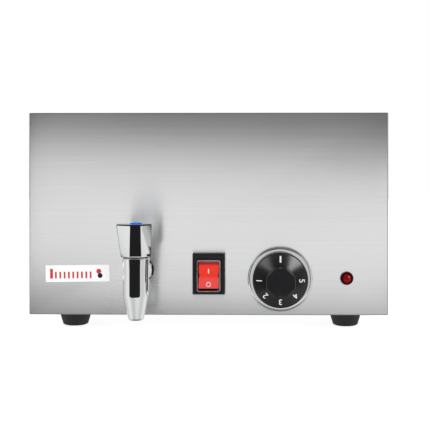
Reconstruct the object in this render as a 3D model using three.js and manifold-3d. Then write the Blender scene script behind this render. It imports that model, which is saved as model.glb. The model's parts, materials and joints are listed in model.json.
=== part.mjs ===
// Countertop nacho cheese dispenser: a stainless water-bath warmer with a lift-out food pan, a drain tap,
// a lit rocker switch, a thermostat knob and a pilot lamp on its front.
// Millimetres. +Z is up, +X is to the right seen from the front, and the front faces -Y.
// The origin is on the counter, midway across the whole object, tap and stored cord included.

import * as THREE from "three";
import { mergeVertices } from "three/addons/utils/BufferGeometryUtils.js";
import Module from "manifold-3d";

const wasm = await Module();
wasm.setup();

// ---------------------------------------------------------------- driving dimensions

const BODY = { width: 338, depth: 540, height: 190 }; // the stainless case, without its feet
const FOOT = { standOff: 15, topRadius: 16.5, insetX: 36.8, insetY: 36 }; // standOff is counter to case
const SHEET = 1; // thickness of every folded and pressed steel sheet
const REACH = 52; // how far the tap and the stored cord each stand out from the case

const SWITCH = { x: 0.8, z: 52.5, frameRise: 1.8, width: 30.5, height: 38.7, frameDepth: 7 }; // z: the rocker
const KNOB = { x: 67.5, z: 49.1, skirtRadius: 25.8, bezelRadius: 30.6, hubAcross: 27.5 };
const LAMP = { x: 129.9, z: 49.8, radius: 6.25 };
const LABEL = { x: -122.9, z: 53.9, width: 60.1, height: 15.6, thickness: 0.3, tiltDegrees: 0.7 };
const TAP = {
  x: -62.8,
  standOut: 36, // panel to the upright axis
  shankZ: 57.6,
  outletZ: 16.4,
  taperTopZ: 39,
  bodyTopZ: 72.8,
  handleTopZ: 102.6,
  outletRadius: 6.6,
  bodyRadius: 11.7,
  handleTurnDegrees: 10, // the handle sits a little off square on its splines
  handleTwistDegrees: 8, // from its foot to its top
  handleSweep: 2, // its top flares further on the left, as a pointer
};
const CORD = { x: -110, z: 45, radius: 3.5, hankX: -25, hankRadius: 58, turns: 3, pitch: 9 };
const PLUG = { x: 45, length: 38, halfY: 13, halfZ: 14 };

// GN 1/1 gastronorm opening: the pan's rim is 325 x 530.
const PAN = { rimX: 162.5, rimY: 265, rimCorner: 14, depth: 100, corner: 30 };
const RECESS = { x: 163, y: 265.5, corner: 12, depth: 4 }; // holds the pan's rim below the case's top edge
const ROCKER_TILT_DEGREES = 10;

// ---------------------------------------------------------------- places worked out from them

const HALF_X = BODY.width / 2;
const HALF_Y = BODY.depth / 2;
const BOTTOM = FOOT.standOff;
const TOP = BOTTOM + BODY.height;
const FLOOR = BOTTOM + SHEET; // underside of the base plate
const LEDGE = TOP - RECESS.depth; // where the pan's rim rests
const WELL_BOTTOM = 40;
const WELL_STEP = { low: 88, high: 106, halfX: 128, halfY: 228 };
const WELL_MOUTH = { halfX: 154, halfY: 254 };
const BASE_FLANGE = 14;
const REAR_FLANGE = 13;
const FOOT_X = HALF_X - FOOT.insetX;
const FOOT_Y = HALF_Y - FOOT.insetY;
const HANK_Z = CORD.hankRadius + CORD.radius + 0.1; // the hank stands on the counter
const HANK_Y = HALF_Y + REACH - CORD.radius; // the hank's rearmost turn
const PLUG_Y = HALF_Y + PLUG.halfY + 0.3; // the plug lies against the back

// ---------------------------------------------------------------- materials

const material = (color, roughness, metalness, more = {}) =>
  new THREE.MeshStandardMaterial({ color, roughness, metalness, ...more });

const MATERIALS = {
  steel: material(0xd2d3d4, 0.32, 1),
  pressedSteel: material(0xc4c6c8, 0.25, 1),
  chrome: material(0xf0f1f2, 0.06, 1),
  zincSteel: material(0xb7babd, 0.4, 1),
  brass: material(0xc9a35a, 0.35, 1),
  blackPlastic: material(0x141416, 0.35, 0),
  blackRubber: material(0x1b1b1c, 0.75, 0),
  redLens: material(0xe0241c, 0.18, 0),
  darkRedLens: material(0x8d0b12, 0.1, 0),
  bluePlastic: material(0x1469f0, 0.25, 0),
  clearCover: material(0xf2f4f5, 0.1, 0, { transparent: true, opacity: 0.3 }),
  whiteLabel: material(0xf8f9f9, 0.4, 0),
  whiteCeramic: material(0xe9e6dd, 0.5, 0),
};

// ---------------------------------------------------------------- shape helpers

const radians = THREE.MathUtils.degToRad;
const point = (x, y, z) => new THREE.Vector3(x, y, z);
const UP = point(0, 0, 1);

// A closed three.js geometry as a solid that can be cut and joined.
function solid(geometry) {
  const bare = geometry.index ? geometry.toNonIndexed() : geometry.clone();
  bare.deleteAttribute("normal");
  bare.deleteAttribute("uv");
  const merged = mergeVertices(bare, 1e-4);
  return new wasm.Manifold(
    new wasm.Mesh({
      numProp: 3,
      vertProperties: merged.attributes.position.array,
      triVerts: new Uint32Array(merged.index.array),
    }),
  );
}

// A named mesh of a solid.
function piece(name, shape, look) {
  const mesh = shape.getMesh();
  const geometry = new THREE.BufferGeometry()
    .setAttribute("position", new THREE.BufferAttribute(mesh.vertProperties, 3))
    .setIndex(new THREE.BufferAttribute(mesh.triVerts, 1));
  geometry.computeVertexNormals();
  const made = new THREE.Mesh(geometry, look);
  made.name = name;
  return made;
}

const join = (...shapes) => shapes.reduce((all, next) => all.add(next));
const cut = (from, ...tools) => tools.reduce((left, tool) => left.subtract(tool), from);

// A block between two opposite corners.
function block([x0, y0, z0], [x1, y1, z1]) {
  const box = new THREE.BoxGeometry(x1 - x0, y1 - y0, z1 - z0);
  return solid(box.translate((x0 + x1) / 2, (y0 + y1) / 2, (z0 + z1) / 2));
}

// A round bar between two points. Six sides make a hexagon bar with corners at its left and right.
function bar(from, to, radius, sides = 24) {
  const along = to.clone().sub(from);
  const cylinder = new THREE.CylinderGeometry(radius, radius, along.length(), sides);
  cylinder.rotateY(Math.PI / 2);
  const turn = new THREE.Quaternion().setFromUnitVectors(point(0, 1, 0), along.clone().normalize());
  cylinder.applyQuaternion(turn);
  return solid(cylinder.translate(...from.clone().addScaledVector(along, 0.5)));
}

// A shape turned about Z from [radius, height] pairs, which start and end on the axis or close on themselves.
function turned(profile, sides = 24) {
  const outline = profile.map(([radius, height]) => new THREE.Vector2(radius, height));
  return solid(new THREE.LatheGeometry(outline, sides).rotateX(Math.PI / 2));
}

const ring = (inner, outer, low, high, sides = 24) =>
  turned([[inner, low], [outer, low], [outer, high], [inner, high], [inner, low]], sides);

function roundedRectangle(halfX, halfY, radius) {
  const x = halfX - radius;
  const y = halfY - radius;
  const shape = new THREE.Shape();
  shape.absarc(x, y, radius, 0, Math.PI / 2);
  shape.absarc(-x, y, radius, Math.PI / 2, Math.PI);
  shape.absarc(-x, -y, radius, Math.PI, 1.5 * Math.PI);
  shape.absarc(x, -y, radius, 1.5 * Math.PI, 2 * Math.PI);
  return shape;
}

// An outline stretched to the half sizes of each [height, halfX, halfY] level in turn. A level may also be
// moved along x, and turned about z.
function stretched(outline, levels, arcSteps = 3) {
  const steps = levels.length - 1;
  const settings = { depth: steps, steps, bevelEnabled: false, curveSegments: arcSteps };
  const geometry = new THREE.ExtrudeGeometry(outline, settings);
  geometry.computeBoundingBox();
  const own = geometry.boundingBox.max.clone();
  const place = geometry.attributes.position;
  for (let i = 0; i < place.count; i++) {
    const [height, halfX, halfY, shiftX = 0, turn = 0] = levels[Math.round(place.getZ(i))];
    const corner = point((place.getX(i) * halfX) / own.x, (place.getY(i) * halfY) / own.y, height);
    corner.applyAxisAngle(UP, turn);
    place.setXYZ(i, corner.x + shiftX, corner.y, corner.z);
  }
  return solid(geometry);
}

const tub = (levels, corner) => stretched(roundedRectangle(levels[0][1], levels[0][2], corner), levels, 2);

// An open-topped pressed vessel of even wall thickness.
function vessel(levels, corner, wall = SHEET) {
  const inside = levels.map(([height, halfX, halfY]) => [height, halfX - wall, halfY - wall]);
  inside[0][0] += wall;
  inside.at(-1)[0] += wall;
  return cut(tub(levels, corner), tub(inside, corner - wall));
}

// A flat plate with a rounded outline.
const plate = (halfX, halfY, corner, low, high) => tub([[low, halfX, halfY], [high, halfX, halfY]], corner);

// A curve that runs straight from one given point to the next.
class Route extends THREE.Curve {
  constructor(points) {
    super();
    this.points = points;
  }

  getPoint(t, target = new THREE.Vector3()) {
    const along = t * (this.points.length - 1);
    const index = Math.min(Math.floor(along), this.points.length - 2);
    return target.lerpVectors(this.points[index], this.points[index + 1], along - index);
  }

  getUtoTmapping(u) {
    return u; // one cross-section at each given point
  }
}

// The points of a wire that runs through the given corners and bends at each of them.
function bent(corners, bend, steps = 3) {
  const points = [corners[0]];
  for (let i = 1; i < corners.length - 1; i++) {
    const corner = corners[i];
    const start = corner.clone().add(corners[i - 1].clone().sub(corner).setLength(bend));
    const end = corner.clone().add(corners[i + 1].clone().sub(corner).setLength(bend));
    points.push(...new THREE.QuadraticBezierCurve3(start, corner, end).getPoints(steps));
  }
  points.push(corners.at(-1));
  return points;
}

// A tube of round section along a list of points.
function wire(points, radius, sides = 8) {
  const corner = (_, i) => {
    const angle = (2 * Math.PI * i) / sides;
    return new THREE.Vector2(radius * Math.cos(angle), radius * Math.sin(angle));
  };
  const section = new THREE.Shape(Array.from({ length: sides }, corner));
  const settings = { steps: points.length - 1, extrudePath: new Route(points) };
  return solid(new THREE.ExtrudeGeometry(section, settings));
}

// A screw with its head down on z = 0 and its shank going to -length.
const screw = (headRadius, headHeight, shankRadius, length) =>
  turned(
    [
      [0, -length],
      [shankRadius, -length],
      [shankRadius, 0],
      [headRadius, 0],
      [headRadius * 0.92, headHeight * 0.6],
      [headRadius * 0.6, headHeight],
      [0, headHeight],
    ],
    10,
  );

// Left, right, front and rear corners, as [name, sign of x, sign of y].
const CORNERS = [
  ["front_left", -1, -1],
  ["front_right", 1, -1],
  ["rear_left", -1, 1],
  ["rear_right", 1, 1],
];

// ---------------------------------------------------------------- case

const BASE_SCREW = { x: HALF_X - 7.5, y: 200, hole: 1.8 };
const REAR_SCREW = { x: HALF_X - 7, low: 40, high: 180, hole: 1.9 };

// Through-holes for the controls, cut in the front wall.
function frontOpenings() {
  const y0 = -HALF_Y - 1;
  const y1 = -HALF_Y + SHEET + 1;
  const hole = (x, z, radius, sides = 24) => bar(point(x, y0, z), point(x, y1, z), radius, sides);
  const halfX = 11.1;
  const halfZ = 14.9;
  return [
    block([SWITCH.x - halfX, y0, SWITCH.z - halfZ], [SWITCH.x + halfX, y1, SWITCH.z + halfZ]),
    hole(KNOB.x, KNOB.z, 6),
    hole(KNOB.x - 14, KNOB.z, 2.2, 12),
    hole(KNOB.x + 14, KNOB.z, 2.2, 12),
    hole(LAMP.x, LAMP.z, 5.1),
    hole(TAP.x, TAP.shankZ, 10.7),
  ];
}

// Front and both sides in one sheet, folded inwards at the top, the bottom and the rear edges.
function frontCasing() {
  const rear = HALF_Y - SHEET;
  const shell = cut(
    block([-HALF_X, -HALF_Y, BOTTOM], [HALF_X, rear, TOP]),
    block([-HALF_X + SHEET, -HALF_Y + SHEET, FLOOR], [HALF_X - SHEET, rear - SHEET, TOP - SHEET]),
    block([-RECESS.x, -RECESS.y, TOP - 2], [RECESS.x, rear + 1, TOP + 1]),
    block(
      [-HALF_X + BASE_FLANGE, -HALF_Y + BASE_FLANGE, BOTTOM - 1],
      [HALF_X - BASE_FLANGE, rear + 1, FLOOR + 1],
    ),
    block(
      [-HALF_X + REAR_FLANGE, rear - 2, BOTTOM - 1],
      [HALF_X - REAR_FLANGE, rear + 1, TOP + 1],
    ),
  );
  const screwHoles = CORNERS.flatMap(([, sx, sy]) => {
    const x = sx * BASE_SCREW.x;
    const y = sy * BASE_SCREW.y;
    const rearX = sx * REAR_SCREW.x;
    const rearZ = sy < 0 ? REAR_SCREW.low : REAR_SCREW.high;
    return [
      bar(point(x, y, BOTTOM - 1), point(x, y, FLOOR + 1), BASE_SCREW.hole, 10),
      bar(point(rearX, rear - 3, rearZ), point(rearX, rear + 1, rearZ), REAR_SCREW.hole, 10),
    ];
  });
  return cut(shell, ...frontOpenings(), ...screwHoles);
}

const VENT = { count: 7, pitch: 12, width: 4, low: 100, high: 150, x: 70 };

// The screwed-on back, with two rows of upright vents and a hole for the cord's gland.
function rearPanel() {
  const y0 = HALF_Y - SHEET;
  const vents = [-VENT.x, VENT.x].flatMap((middle) =>
    Array.from({ length: VENT.count }, (_, i) => {
      const x = middle + (i - (VENT.count - 1) / 2) * VENT.pitch;
      const half = VENT.width / 2;
      return block([x - half, y0 - 1, VENT.low], [x + half, HALF_Y + 1, VENT.high]);
    }),
  );
  const screwHoles = CORNERS.map(([, sx, sz]) => {
    const x = sx * REAR_SCREW.x;
    const z = sz < 0 ? REAR_SCREW.low : REAR_SCREW.high;
    return bar(point(x, y0 - 1, z), point(x, HALF_Y + 1, z), REAR_SCREW.hole, 10);
  });
  const panel = join(
    block([-HALF_X, y0, BOTTOM], [HALF_X, HALF_Y, TOP]),
    block([-RECESS.x + 0.3, RECESS.y, TOP - SHEET], [RECESS.x - 0.3, y0 + 0.5, TOP]),
  );
  const glandHole = bar(point(CORD.x, y0 - 1, CORD.z), point(CORD.x, HALF_Y + 1, CORD.z), 8);
  return cut(panel, glandHole, ...vents, ...screwHoles);
}

const BASE_SLOT = { rows: 6, pitch: 26, halfLength: 45, halfWidth: 2.5 };

// The tray that closes the bottom, slotted so that the heated space can breathe.
function basePlate() {
  const tray = block(
    [-HALF_X + SHEET + 0.2, -HALF_Y + SHEET + 0.2, FLOOR],
    [HALF_X - SHEET - 0.2, HALF_Y - 2 * SHEET - 0.2, FLOOR + SHEET],
  );
  const slots = Array.from({ length: BASE_SLOT.rows }, (_, i) => {
    const y = (i - (BASE_SLOT.rows - 1) / 2) * BASE_SLOT.pitch;
    const { halfLength, halfWidth } = BASE_SLOT;
    return block([-halfLength, y - halfWidth, FLOOR - 1], [halfLength, y + halfWidth, FLOOR + 2]);
  });
  const holes = CORNERS.flatMap(([, sx, sy]) => [
    [sx * FOOT_X, sy * FOOT_Y, 2.6],
    [sx * BASE_SCREW.x, sy * BASE_SCREW.y, BASE_SCREW.hole],
  ]).map(([x, y, radius]) => bar(point(x, y, FLOOR - 1), point(x, y, FLOOR + 2), radius, 10));
  return cut(tray, ...slots, ...holes);
}

// A pressed frame under the case's folded rim: a lip, a short wall down and the ledge for the pan's rim.
function topDeck() {
  const underRim = TOP - SHEET;
  const lip = block(
    [-HALF_X + SHEET + 0.2, -HALF_Y + SHEET + 0.2, underRim - SHEET],
    [HALF_X - SHEET - 0.2, HALF_Y - 2 * SHEET - 0.2, underRim],
  );
  const tray = plate(RECESS.x + SHEET, RECESS.y + SHEET, RECESS.corner + SHEET, LEDGE - SHEET, underRim);
  const recess = plate(RECESS.x, RECESS.y, RECESS.corner, LEDGE, underRim + 1);
  const { halfX, halfY } = WELL_MOUTH;
  const mouth = plate(halfX - SHEET, halfY - SHEET, PAN.corner - 1, LEDGE - 2, LEDGE + 1);
  return cut(join(lip, tray), recess, mouth);
}

// The two-step water tank, hung from the deck by its flange. The lower step leaves room for the controls.
function waterWell() {
  const rim = LEDGE - SHEET;
  const tank = vessel(
    [
      [WELL_BOTTOM, WELL_STEP.halfX, WELL_STEP.halfY],
      [WELL_STEP.low, WELL_STEP.halfX, WELL_STEP.halfY],
      [WELL_STEP.high, WELL_MOUTH.halfX - 3, WELL_MOUTH.halfY - 3],
      [rim, WELL_MOUTH.halfX, WELL_MOUTH.halfY],
    ],
    PAN.corner,
  );
  const flange = cut(
    plate(WELL_MOUTH.halfX + 6, WELL_MOUTH.halfY + 6, PAN.corner + 6, rim - SHEET, rim),
    plate(WELL_MOUTH.halfX - 0.5, WELL_MOUTH.halfY - 0.5, PAN.corner - 0.5, rim - 3, rim + 2),
  );
  const front = -WELL_STEP.halfY;
  const frontHole = ({ x, z }, radius, sides) =>
    bar(point(x, front - 2, z), point(x, front + 3, z), radius, sides);
  const tapHole = frontHole({ x: TAP.x, z: TAP.shankZ }, 10.7, 24);
  const bulbHole = frontHole(BULB, BULB.wireRadius + 0.4, 10);
  const legHoles = [-1, 1].map((side) => {
    const x = side * ELEMENT.legX;
    return bar(point(x, ELEMENT.legY, WELL_BOTTOM - 2), point(x, ELEMENT.legY, WELL_BOTTOM + 3), 4.5, 12);
  });
  return cut(join(tank, flange), tapHole, bulbHole, ...legHoles);
}

// A round rubber foot with a recess for its screw.
const foot = () =>
  turned(
    [
      [2.6, 7],
      [6, 7],
      [6, 0],
      [10.8, 0],
      [12.4, 1],
      [FOOT.topRadius, FLOOR],
      [2.6, FLOOR],
      [2.6, 7],
    ],
    20,
  );

function feet() {
  return CORNERS.flatMap(([corner, sx, sy]) => {
    const place = point(sx * FOOT_X, sy * FOOT_Y, 0);
    const rubber = piece(`foot_${corner}`, foot(), MATERIALS.blackRubber);
    rubber.position.copy(place);
    const fixing = piece(`foot_screw_${corner}`, screw(4.5, 3, 2.2, 15), MATERIALS.zincSteel);
    fixing.position.copy(place).setZ(7);
    fixing.rotation.x = Math.PI; // head down
    return [rubber, fixing];
  });
}

function caseScrews() {
  return CORNERS.flatMap(([corner, sx, sy]) => {
    const under = piece(`base_screw_${corner}`, screw(3.2, 1.6, 1.5, 5), MATERIALS.zincSteel);
    under.position.set(sx * BASE_SCREW.x, sy * BASE_SCREW.y, BOTTOM);
    under.rotation.x = Math.PI;
    const height = sy < 0 ? "lower" : "upper";
    const side = sx < 0 ? "left" : "right";
    const behind = piece(`rear_screw_${height}_${side}`, screw(3.5, 1.8, 1.6, 6), MATERIALS.zincSteel);
    behind.position.set(sx * REAR_SCREW.x, HALF_Y, sy < 0 ? REAR_SCREW.low : REAR_SCREW.high);
    behind.rotation.x = -Math.PI / 2; // head towards the rear
    return [under, behind];
  });
}

function caseParts() {
  return [
    piece("front_casing", frontCasing(), MATERIALS.steel),
    piece("rear_panel", rearPanel(), MATERIALS.steel),
    piece("base_plate", basePlate(), MATERIALS.zincSteel),
    piece("top_deck", topDeck(), MATERIALS.steel),
    piece("water_well", waterWell(), MATERIALS.pressedSteel),
    ...feet(),
    ...caseScrews(),
  ];
}

// ---------------------------------------------------------------- controls
// These are drawn as seen from the front: x to the right, y up and z out of the panel, whose face is z = 0.

// The switch's black frame with its square body behind the panel, hollow where the rocker swings.
function switchHousing() {
  const { width, height, frameDepth, frameRise } = SWITCH;
  const frame = stretched(roundedRectangle(width / 2, height / 2, 1.5), [
    [0, width / 2, height / 2],
    [frameDepth - 1, width / 2 - 0.4, height / 2 - 0.4],
    [frameDepth, width / 2 - 1.2, height / 2 - 1.2],
  ], 1).translate([0, frameRise, 0]);
  const terminals = [-6, 6].flatMap((x) =>
    [-8, 8].map((y) => block([x - 3.1, y - 0.4, -33], [x + 3.1, y + 0.4, -24])),
  );
  return cut(
    join(frame, block([-10.8, -14.5, -25], [10.8, 14.5, 1]), ...terminals),
    block([-11.6, -15.2, 4], [11.6, 15.2, frameDepth + 1]),
    block([-9.8, -13.6, -7], [9.8, 13.6, 5]),
  );
}

// The rocker's side outline is a shallow V at the front, narrowing to the rear, about a pivot at its origin.
function rocker() {
  const outline = new THREE.Shape([
    new THREE.Vector2(6, -12.4),
    new THREE.Vector2(4.6, 0),
    new THREE.Vector2(6, 12.4),
    new THREE.Vector2(-4, 8.5),
    new THREE.Vector2(-4, -8.5),
  ]);
  const slab = new THREE.ExtrudeGeometry(outline, { depth: 18.6, bevelEnabled: false });
  slab.translate(0, 0, -9.3).rotateY(-Math.PI / 2); // the outline's x becomes the outward z
  return solid(slab);
}

const ROCKER_PIVOT = 2.5; // out from the panel's face

// The clear splash cover: a flange in the frame and a hollow dome over the rocker.
function switchCover() {
  const dome = [
    [4.2, 10.9, 14.5],
    [11.5, 10.5, 14.1],
    [12.5, 9.6, 13.2],
  ];
  const hollow = dome.map(([height, halfX, halfY]) => [height - 0.8, halfX - 0.8, halfY - 0.8]);
  hollow[0][0] = 3;
  const flange = plate(11.4, 15, 1.5, 4.2, 5.2);
  const outside = stretched(roundedRectangle(10.9, 14.5, 1.5), dome, 1);
  const inside = stretched(roundedRectangle(10.1, 13.7, 1), hollow, 1);
  return cut(join(flange, outside), inside);
}

function switchParts() {
  const group = new THREE.Group();
  group.position.set(SWITCH.x, SWITCH.z, 0);
  const paddle = piece("switch_rocker", rocker(), MATERIALS.redLens);
  paddle.position.z = ROCKER_PIVOT;
  paddle.rotation.x = -radians(ROCKER_TILT_DEGREES); // switched on: the upper end is pressed in
  group.add(
    piece("switch_housing", switchHousing(), MATERIALS.blackPlastic),
    piece("switch_cover", switchCover(), MATERIALS.clearCover),
    paddle,
  );
  return group;
}

const SPINDLE_RADIUS = 3;
const THERMOSTAT_DEPTH = 21; // panel face to the back of the thermostat's case

// A dished skirt with an eight-sided grip, hollow behind and bored for the spindle.
function knob() {
  const { skirtRadius, hubAcross } = KNOB;
  const skirt = turned(
    [
      [0, 4],
      [skirtRadius - 0.8, 4],
      [skirtRadius, 5],
      [skirtRadius, 12],
      [skirtRadius - 0.8, 12.6],
      [hubAcross / 2, 17],
      [0, 17],
    ],
    36,
  );
  const corner = hubAcross / 2 / Math.cos(Math.PI / 8);
  const grip = turned([[0, 14], [corner, 14], [corner - 0.6, 28.5], [corner - 2, 30], [0, 30]], 8);
  const hollow = bar(point(0, 0, 3), point(0, 0, 9), 21, 24);
  const bore = bar(point(0, 0, 3), point(0, 0, 24), SPINDLE_RADIUS + 0.15, 12);
  return cut(join(skirt, grip.rotate([0, 0, 22.5])), hollow, bore);
}

const knobBezel = () =>
  turned(
    [
      [18.5, 0],
      [KNOB.bezelRadius, 0],
      [KNOB.bezelRadius, 0.8],
      [KNOB.bezelRadius - 1, 2.2],
      [KNOB.bezelRadius - 3, 2.9],
      [18.5, 2.9],
      [18.5, 0],
    ],
    36,
  );

// The capillary thermostat's case with the threaded collar that stands through the panel.
function thermostatBody() {
  const screwHole = (x) => bar(point(x, 0, -12), point(x, 0, 2), 2.1, 12);
  const box = block([-17, -17, -THERMOSTAT_DEPTH], [17, 17, -SHEET]);
  const collar = bar(point(0, 0, -2), point(0, 0, 1.5), 5.6, 16);
  return cut(
    join(box, collar),
    bar(point(0, 0, -12), point(0, 0, 2), SPINDLE_RADIUS + 0.4, 12),
    screwHole(-14),
    screwHole(14),
  );
}

function thermostatParts() {
  const group = new THREE.Group();
  group.position.set(KNOB.x, KNOB.z, 0);
  const spindle = bar(point(0, 0, -11.5), point(0, 0, 22), SPINDLE_RADIUS, 12);
  group.add(
    piece("knob", knob(), MATERIALS.blackPlastic),
    piece("knob_bezel", knobBezel(), MATERIALS.chrome),
    piece("thermostat_body", thermostatBody(), MATERIALS.zincSteel),
    piece("thermostat_spindle", spindle, MATERIALS.zincSteel),
  );
  for (const [side, x] of Object.entries({ left: -14, right: 14 })) {
    const fixing = piece(`thermostat_screw_${side}`, screw(3.4, 2, 1.8, 8), MATERIALS.zincSteel);
    fixing.position.x = x;
    group.add(fixing);
  }
  return group;
}

function lampParts() {
  const group = new THREE.Group();
  group.position.set(LAMP.x, LAMP.z, 0);
  const lens = turned([[0, 0], [LAMP.radius, 0], [LAMP.radius, 1.6], [5.6, 2.6], [4, 3.6], [0, 4.1]], 24);
  group.add(
    piece("lamp_lens", lens, MATERIALS.darkRedLens),
    piece("lamp_body", bar(point(0, 0, -26), point(0, 0, 0), 4.8, 20), MATERIALS.blackPlastic),
    piece("lamp_clip", ring(5.1, 8, -3, -SHEET, 20), MATERIALS.zincSteel),
  );
  return group;
}

function label() {
  const { width, height, thickness } = LABEL;
  const sticker = piece("label", plate(width / 2, height / 2, 1, 0, thickness), MATERIALS.whiteLabel);
  sticker.position.set(LABEL.x, LABEL.z, 0);
  sticker.rotation.z = radians(LABEL.tiltDegrees);
  return sticker;
}

function controlParts() {
  const panel = new THREE.Group();
  panel.position.y = -HALF_Y;
  panel.rotation.x = Math.PI / 2; // stands the drawing up on the case's front
  panel.add(switchParts(), thermostatParts(), lampParts(), label());
  return panel;
}

// ---------------------------------------------------------------- tap
// Drawn about its upright axis; +y runs back through the panel into the well.

const TAP_SHANK_END = 94;
const TAP_CHAMBER = { radius: 8.2, low: 48 };

function tapBody() {
  const outside = turned(
    [
      [0, TAP.outletZ],
      [TAP.outletRadius, TAP.outletZ],
      [TAP.outletRadius + 0.5, TAP.outletZ + 1],
      [TAP.bodyRadius - 0.2, TAP.taperTopZ - 1],
      [TAP.bodyRadius, TAP.taperTopZ + 1],
      [TAP.bodyRadius, TAP.bodyTopZ - 12],
      [TAP.bodyRadius + 0.5, TAP.bodyTopZ],
      [0, TAP.bodyTopZ],
    ],
    32,
  );
  const along = (y) => point(0, y, TAP.shankZ);
  return cut(
    join(
      outside,
      bar(along(0), along(TAP.standOut - SHEET), 11.6, 6),
      bar(along(TAP.standOut - 2), along(TAP_SHANK_END), 10.2, 20),
    ),
    bar(point(0, 0, TAP_CHAMBER.low), point(0, 0, TAP.bodyTopZ + 1), TAP_CHAMBER.radius, 20),
    bar(point(0, 0, TAP.outletZ - 1), point(0, 0, TAP_CHAMBER.low + 1), 4.4, 16),
    bar(along(5), along(TAP_SHANK_END + 1), 6, 16),
  );
}

// The quarter-turn cartridge: a brass sleeve that holds the sealing disc and guides the spindle.
function tapCartridge() {
  const sleeve = turned(
    [
      [4, 48.3],
      [7.8, 48.3],
      [7.8, 77],
      [3.4, 77],
      [3.4, 56.3],
      [6.7, 56.3],
      [6.7, 50.6],
      [4, 50.6],
      [4, 48.3],
    ],
    16,
  );
  const window = bar(point(0, 3, 53.4), point(0, 9, 53.4), 2.2, 8);
  return cut(sleeve, window);
}

const tapSpindle = () =>
  cut(
    turned([[0, 51], [6.2, 51], [6.2, 56], [3, 56], [3, 93], [0, 93]], 16),
    bar(point(0, 0, 83), point(0, 0, 94), 1.95, 10),
    bar(point(4, 0, 50), point(4, 0, 57), 1.5, 8),
  );

const eighthOfTurn = (count) => {
  const angle = (count * Math.PI) / 4;
  return new THREE.Vector2(Math.cos(angle), Math.sin(angle));
};

// A square grip that flares upwards, its corners cut off by a second square that flares less.
function tapHandle() {
  const top = TAP.handleTopZ;
  const twist = radians(TAP.handleTwistDegrees / 2);
  const levels = [
    { z: 73.3, side: 13, corner: 12.7, sweep: 0, turn: -twist },
    { z: 74.3, side: 13.4, corner: 13, sweep: 0, turn: -twist },
    { z: top - 1.2, side: 15.7, corner: 14.3, sweep: TAP.handleSweep, turn: twist },
    { z: top, side: 14.9, corner: 13.5, sweep: TAP.handleSweep, turn: twist },
  ];
  const square = new THREE.Shape([1, 3, 5, 7].map(eighthOfTurn));
  const diamond = new THREE.Shape([0, 2, 4, 6].map(eighthOfTurn));
  const flared = (outline, reach) =>
    stretched(outline, levels.map((at) => [at.z, reach(at), reach(at), -at.sweep, at.turn]));
  return cut(
    flared(square, (at) => at.side).intersect(flared(diamond, (at) => at.corner * Math.SQRT2)),
    bar(point(0, 0, 72), point(0, 0, 79), 9.5, 16),
    bar(point(0, 0, 78), point(0, 0, 95), SPINDLE_RADIUS + 0.15, 16),
    bar(point(0, 0, 94), point(0, 0, 98), 4, 12),
    bar(point(0, 0, 97.5), point(0, 0, top + 1), 6, 20),
  );
}

const indexCap = () => turned([[0, 98], [5.7, 98], [5.7, 102.4], [5, 103.1], [0, 103.4]], 20);

function tapParts() {
  const tap = new THREE.Group();
  tap.position.set(TAP.x, -HALF_Y - TAP.standOut, 0);
  const washer = (y0, y1, outer) =>
    cut(
      bar(point(0, y0, TAP.shankZ), point(0, y1, TAP.shankZ), outer, 20),
      bar(point(0, y0 - 1, TAP.shankZ), point(0, y1 + 1, TAP.shankZ), 10.5, 20),
    );
  const wellFace = TAP.standOut + HALF_Y - WELL_STEP.halfY + SHEET;
  const locknut = cut(
    bar(point(0, wellFace + 2, TAP.shankZ), point(0, wellFace + 8, TAP.shankZ), 15, 6),
    bar(point(0, wellFace, TAP.shankZ), point(0, wellFace + 9, TAP.shankZ), 10.5, 20),
  );
  const handle = new THREE.Group();
  handle.rotation.z = radians(TAP.handleTurnDegrees);
  const fixing = piece("tap_handle_screw", screw(3.5, 2.4, 1.75, 10), MATERIALS.zincSteel);
  fixing.position.z = 94.1;
  handle.add(
    piece("tap_handle", tapHandle(), MATERIALS.chrome),
    piece("tap_spindle", tapSpindle(), MATERIALS.brass),
    piece("tap_index_cap", indexCap(), MATERIALS.bluePlastic),
    fixing,
  );
  tap.add(
    piece("tap_body", tapBody(), MATERIALS.chrome),
    piece("tap_cartridge", tapCartridge(), MATERIALS.brass),
    piece("tap_seal_outer", washer(TAP.standOut - SHEET, TAP.standOut, 11.8), MATERIALS.blackRubber),
    piece("tap_seal_inner", washer(wellFace, wellFace + 2, 14), MATERIALS.blackRubber),
    piece("tap_locknut", locknut, MATERIALS.brass),
    handle,
  );
  return tap;
}

// ---------------------------------------------------------------- heating

const ELEMENT = { radius: 4, z: 56, legX: 25, legY: -165, turnY: 165, outerX: 85, crossY: -200 };
const BULB = { x: 95, z: 62, wireRadius: 1.1, radius: 3.2, start: -215, end: -125 };
const LOOM = { radius: 3, clear: 0.3 };
const TERMINALS = { x: -110, y: 210, half: 12 };

// One tube: up a leg, along the well, round to the outside, across the front and back the same way.
function heatingElement() {
  const { radius, z, legX, legY, turnY, outerX, crossY } = ELEMENT;
  const half = (side) => [
    point(side * legX, legY, 25),
    point(side * legX, legY, z),
    point(side * legX, turnY, z),
    point(side * outerX, turnY, z),
    point(side * outerX, crossY, z),
  ];
  return wire(bent([...half(1), ...half(-1).reverse()], 12), radius, 8);
}

function elementNuts() {
  return Object.entries({ left: -1, right: 1 }).map(([name, side]) => {
    const x = side * ELEMENT.legX;
    const nut = cut(
      bar(point(x, ELEMENT.legY, WELL_BOTTOM - 7), point(x, ELEMENT.legY, WELL_BOTTOM), 8, 6),
      bar(point(x, ELEMENT.legY, WELL_BOTTOM - 8), point(x, ELEMENT.legY, WELL_BOTTOM + 1), 4.5, 12),
    );
    return piece(`element_nut_${name}`, nut, MATERIALS.brass);
  });
}

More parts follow.
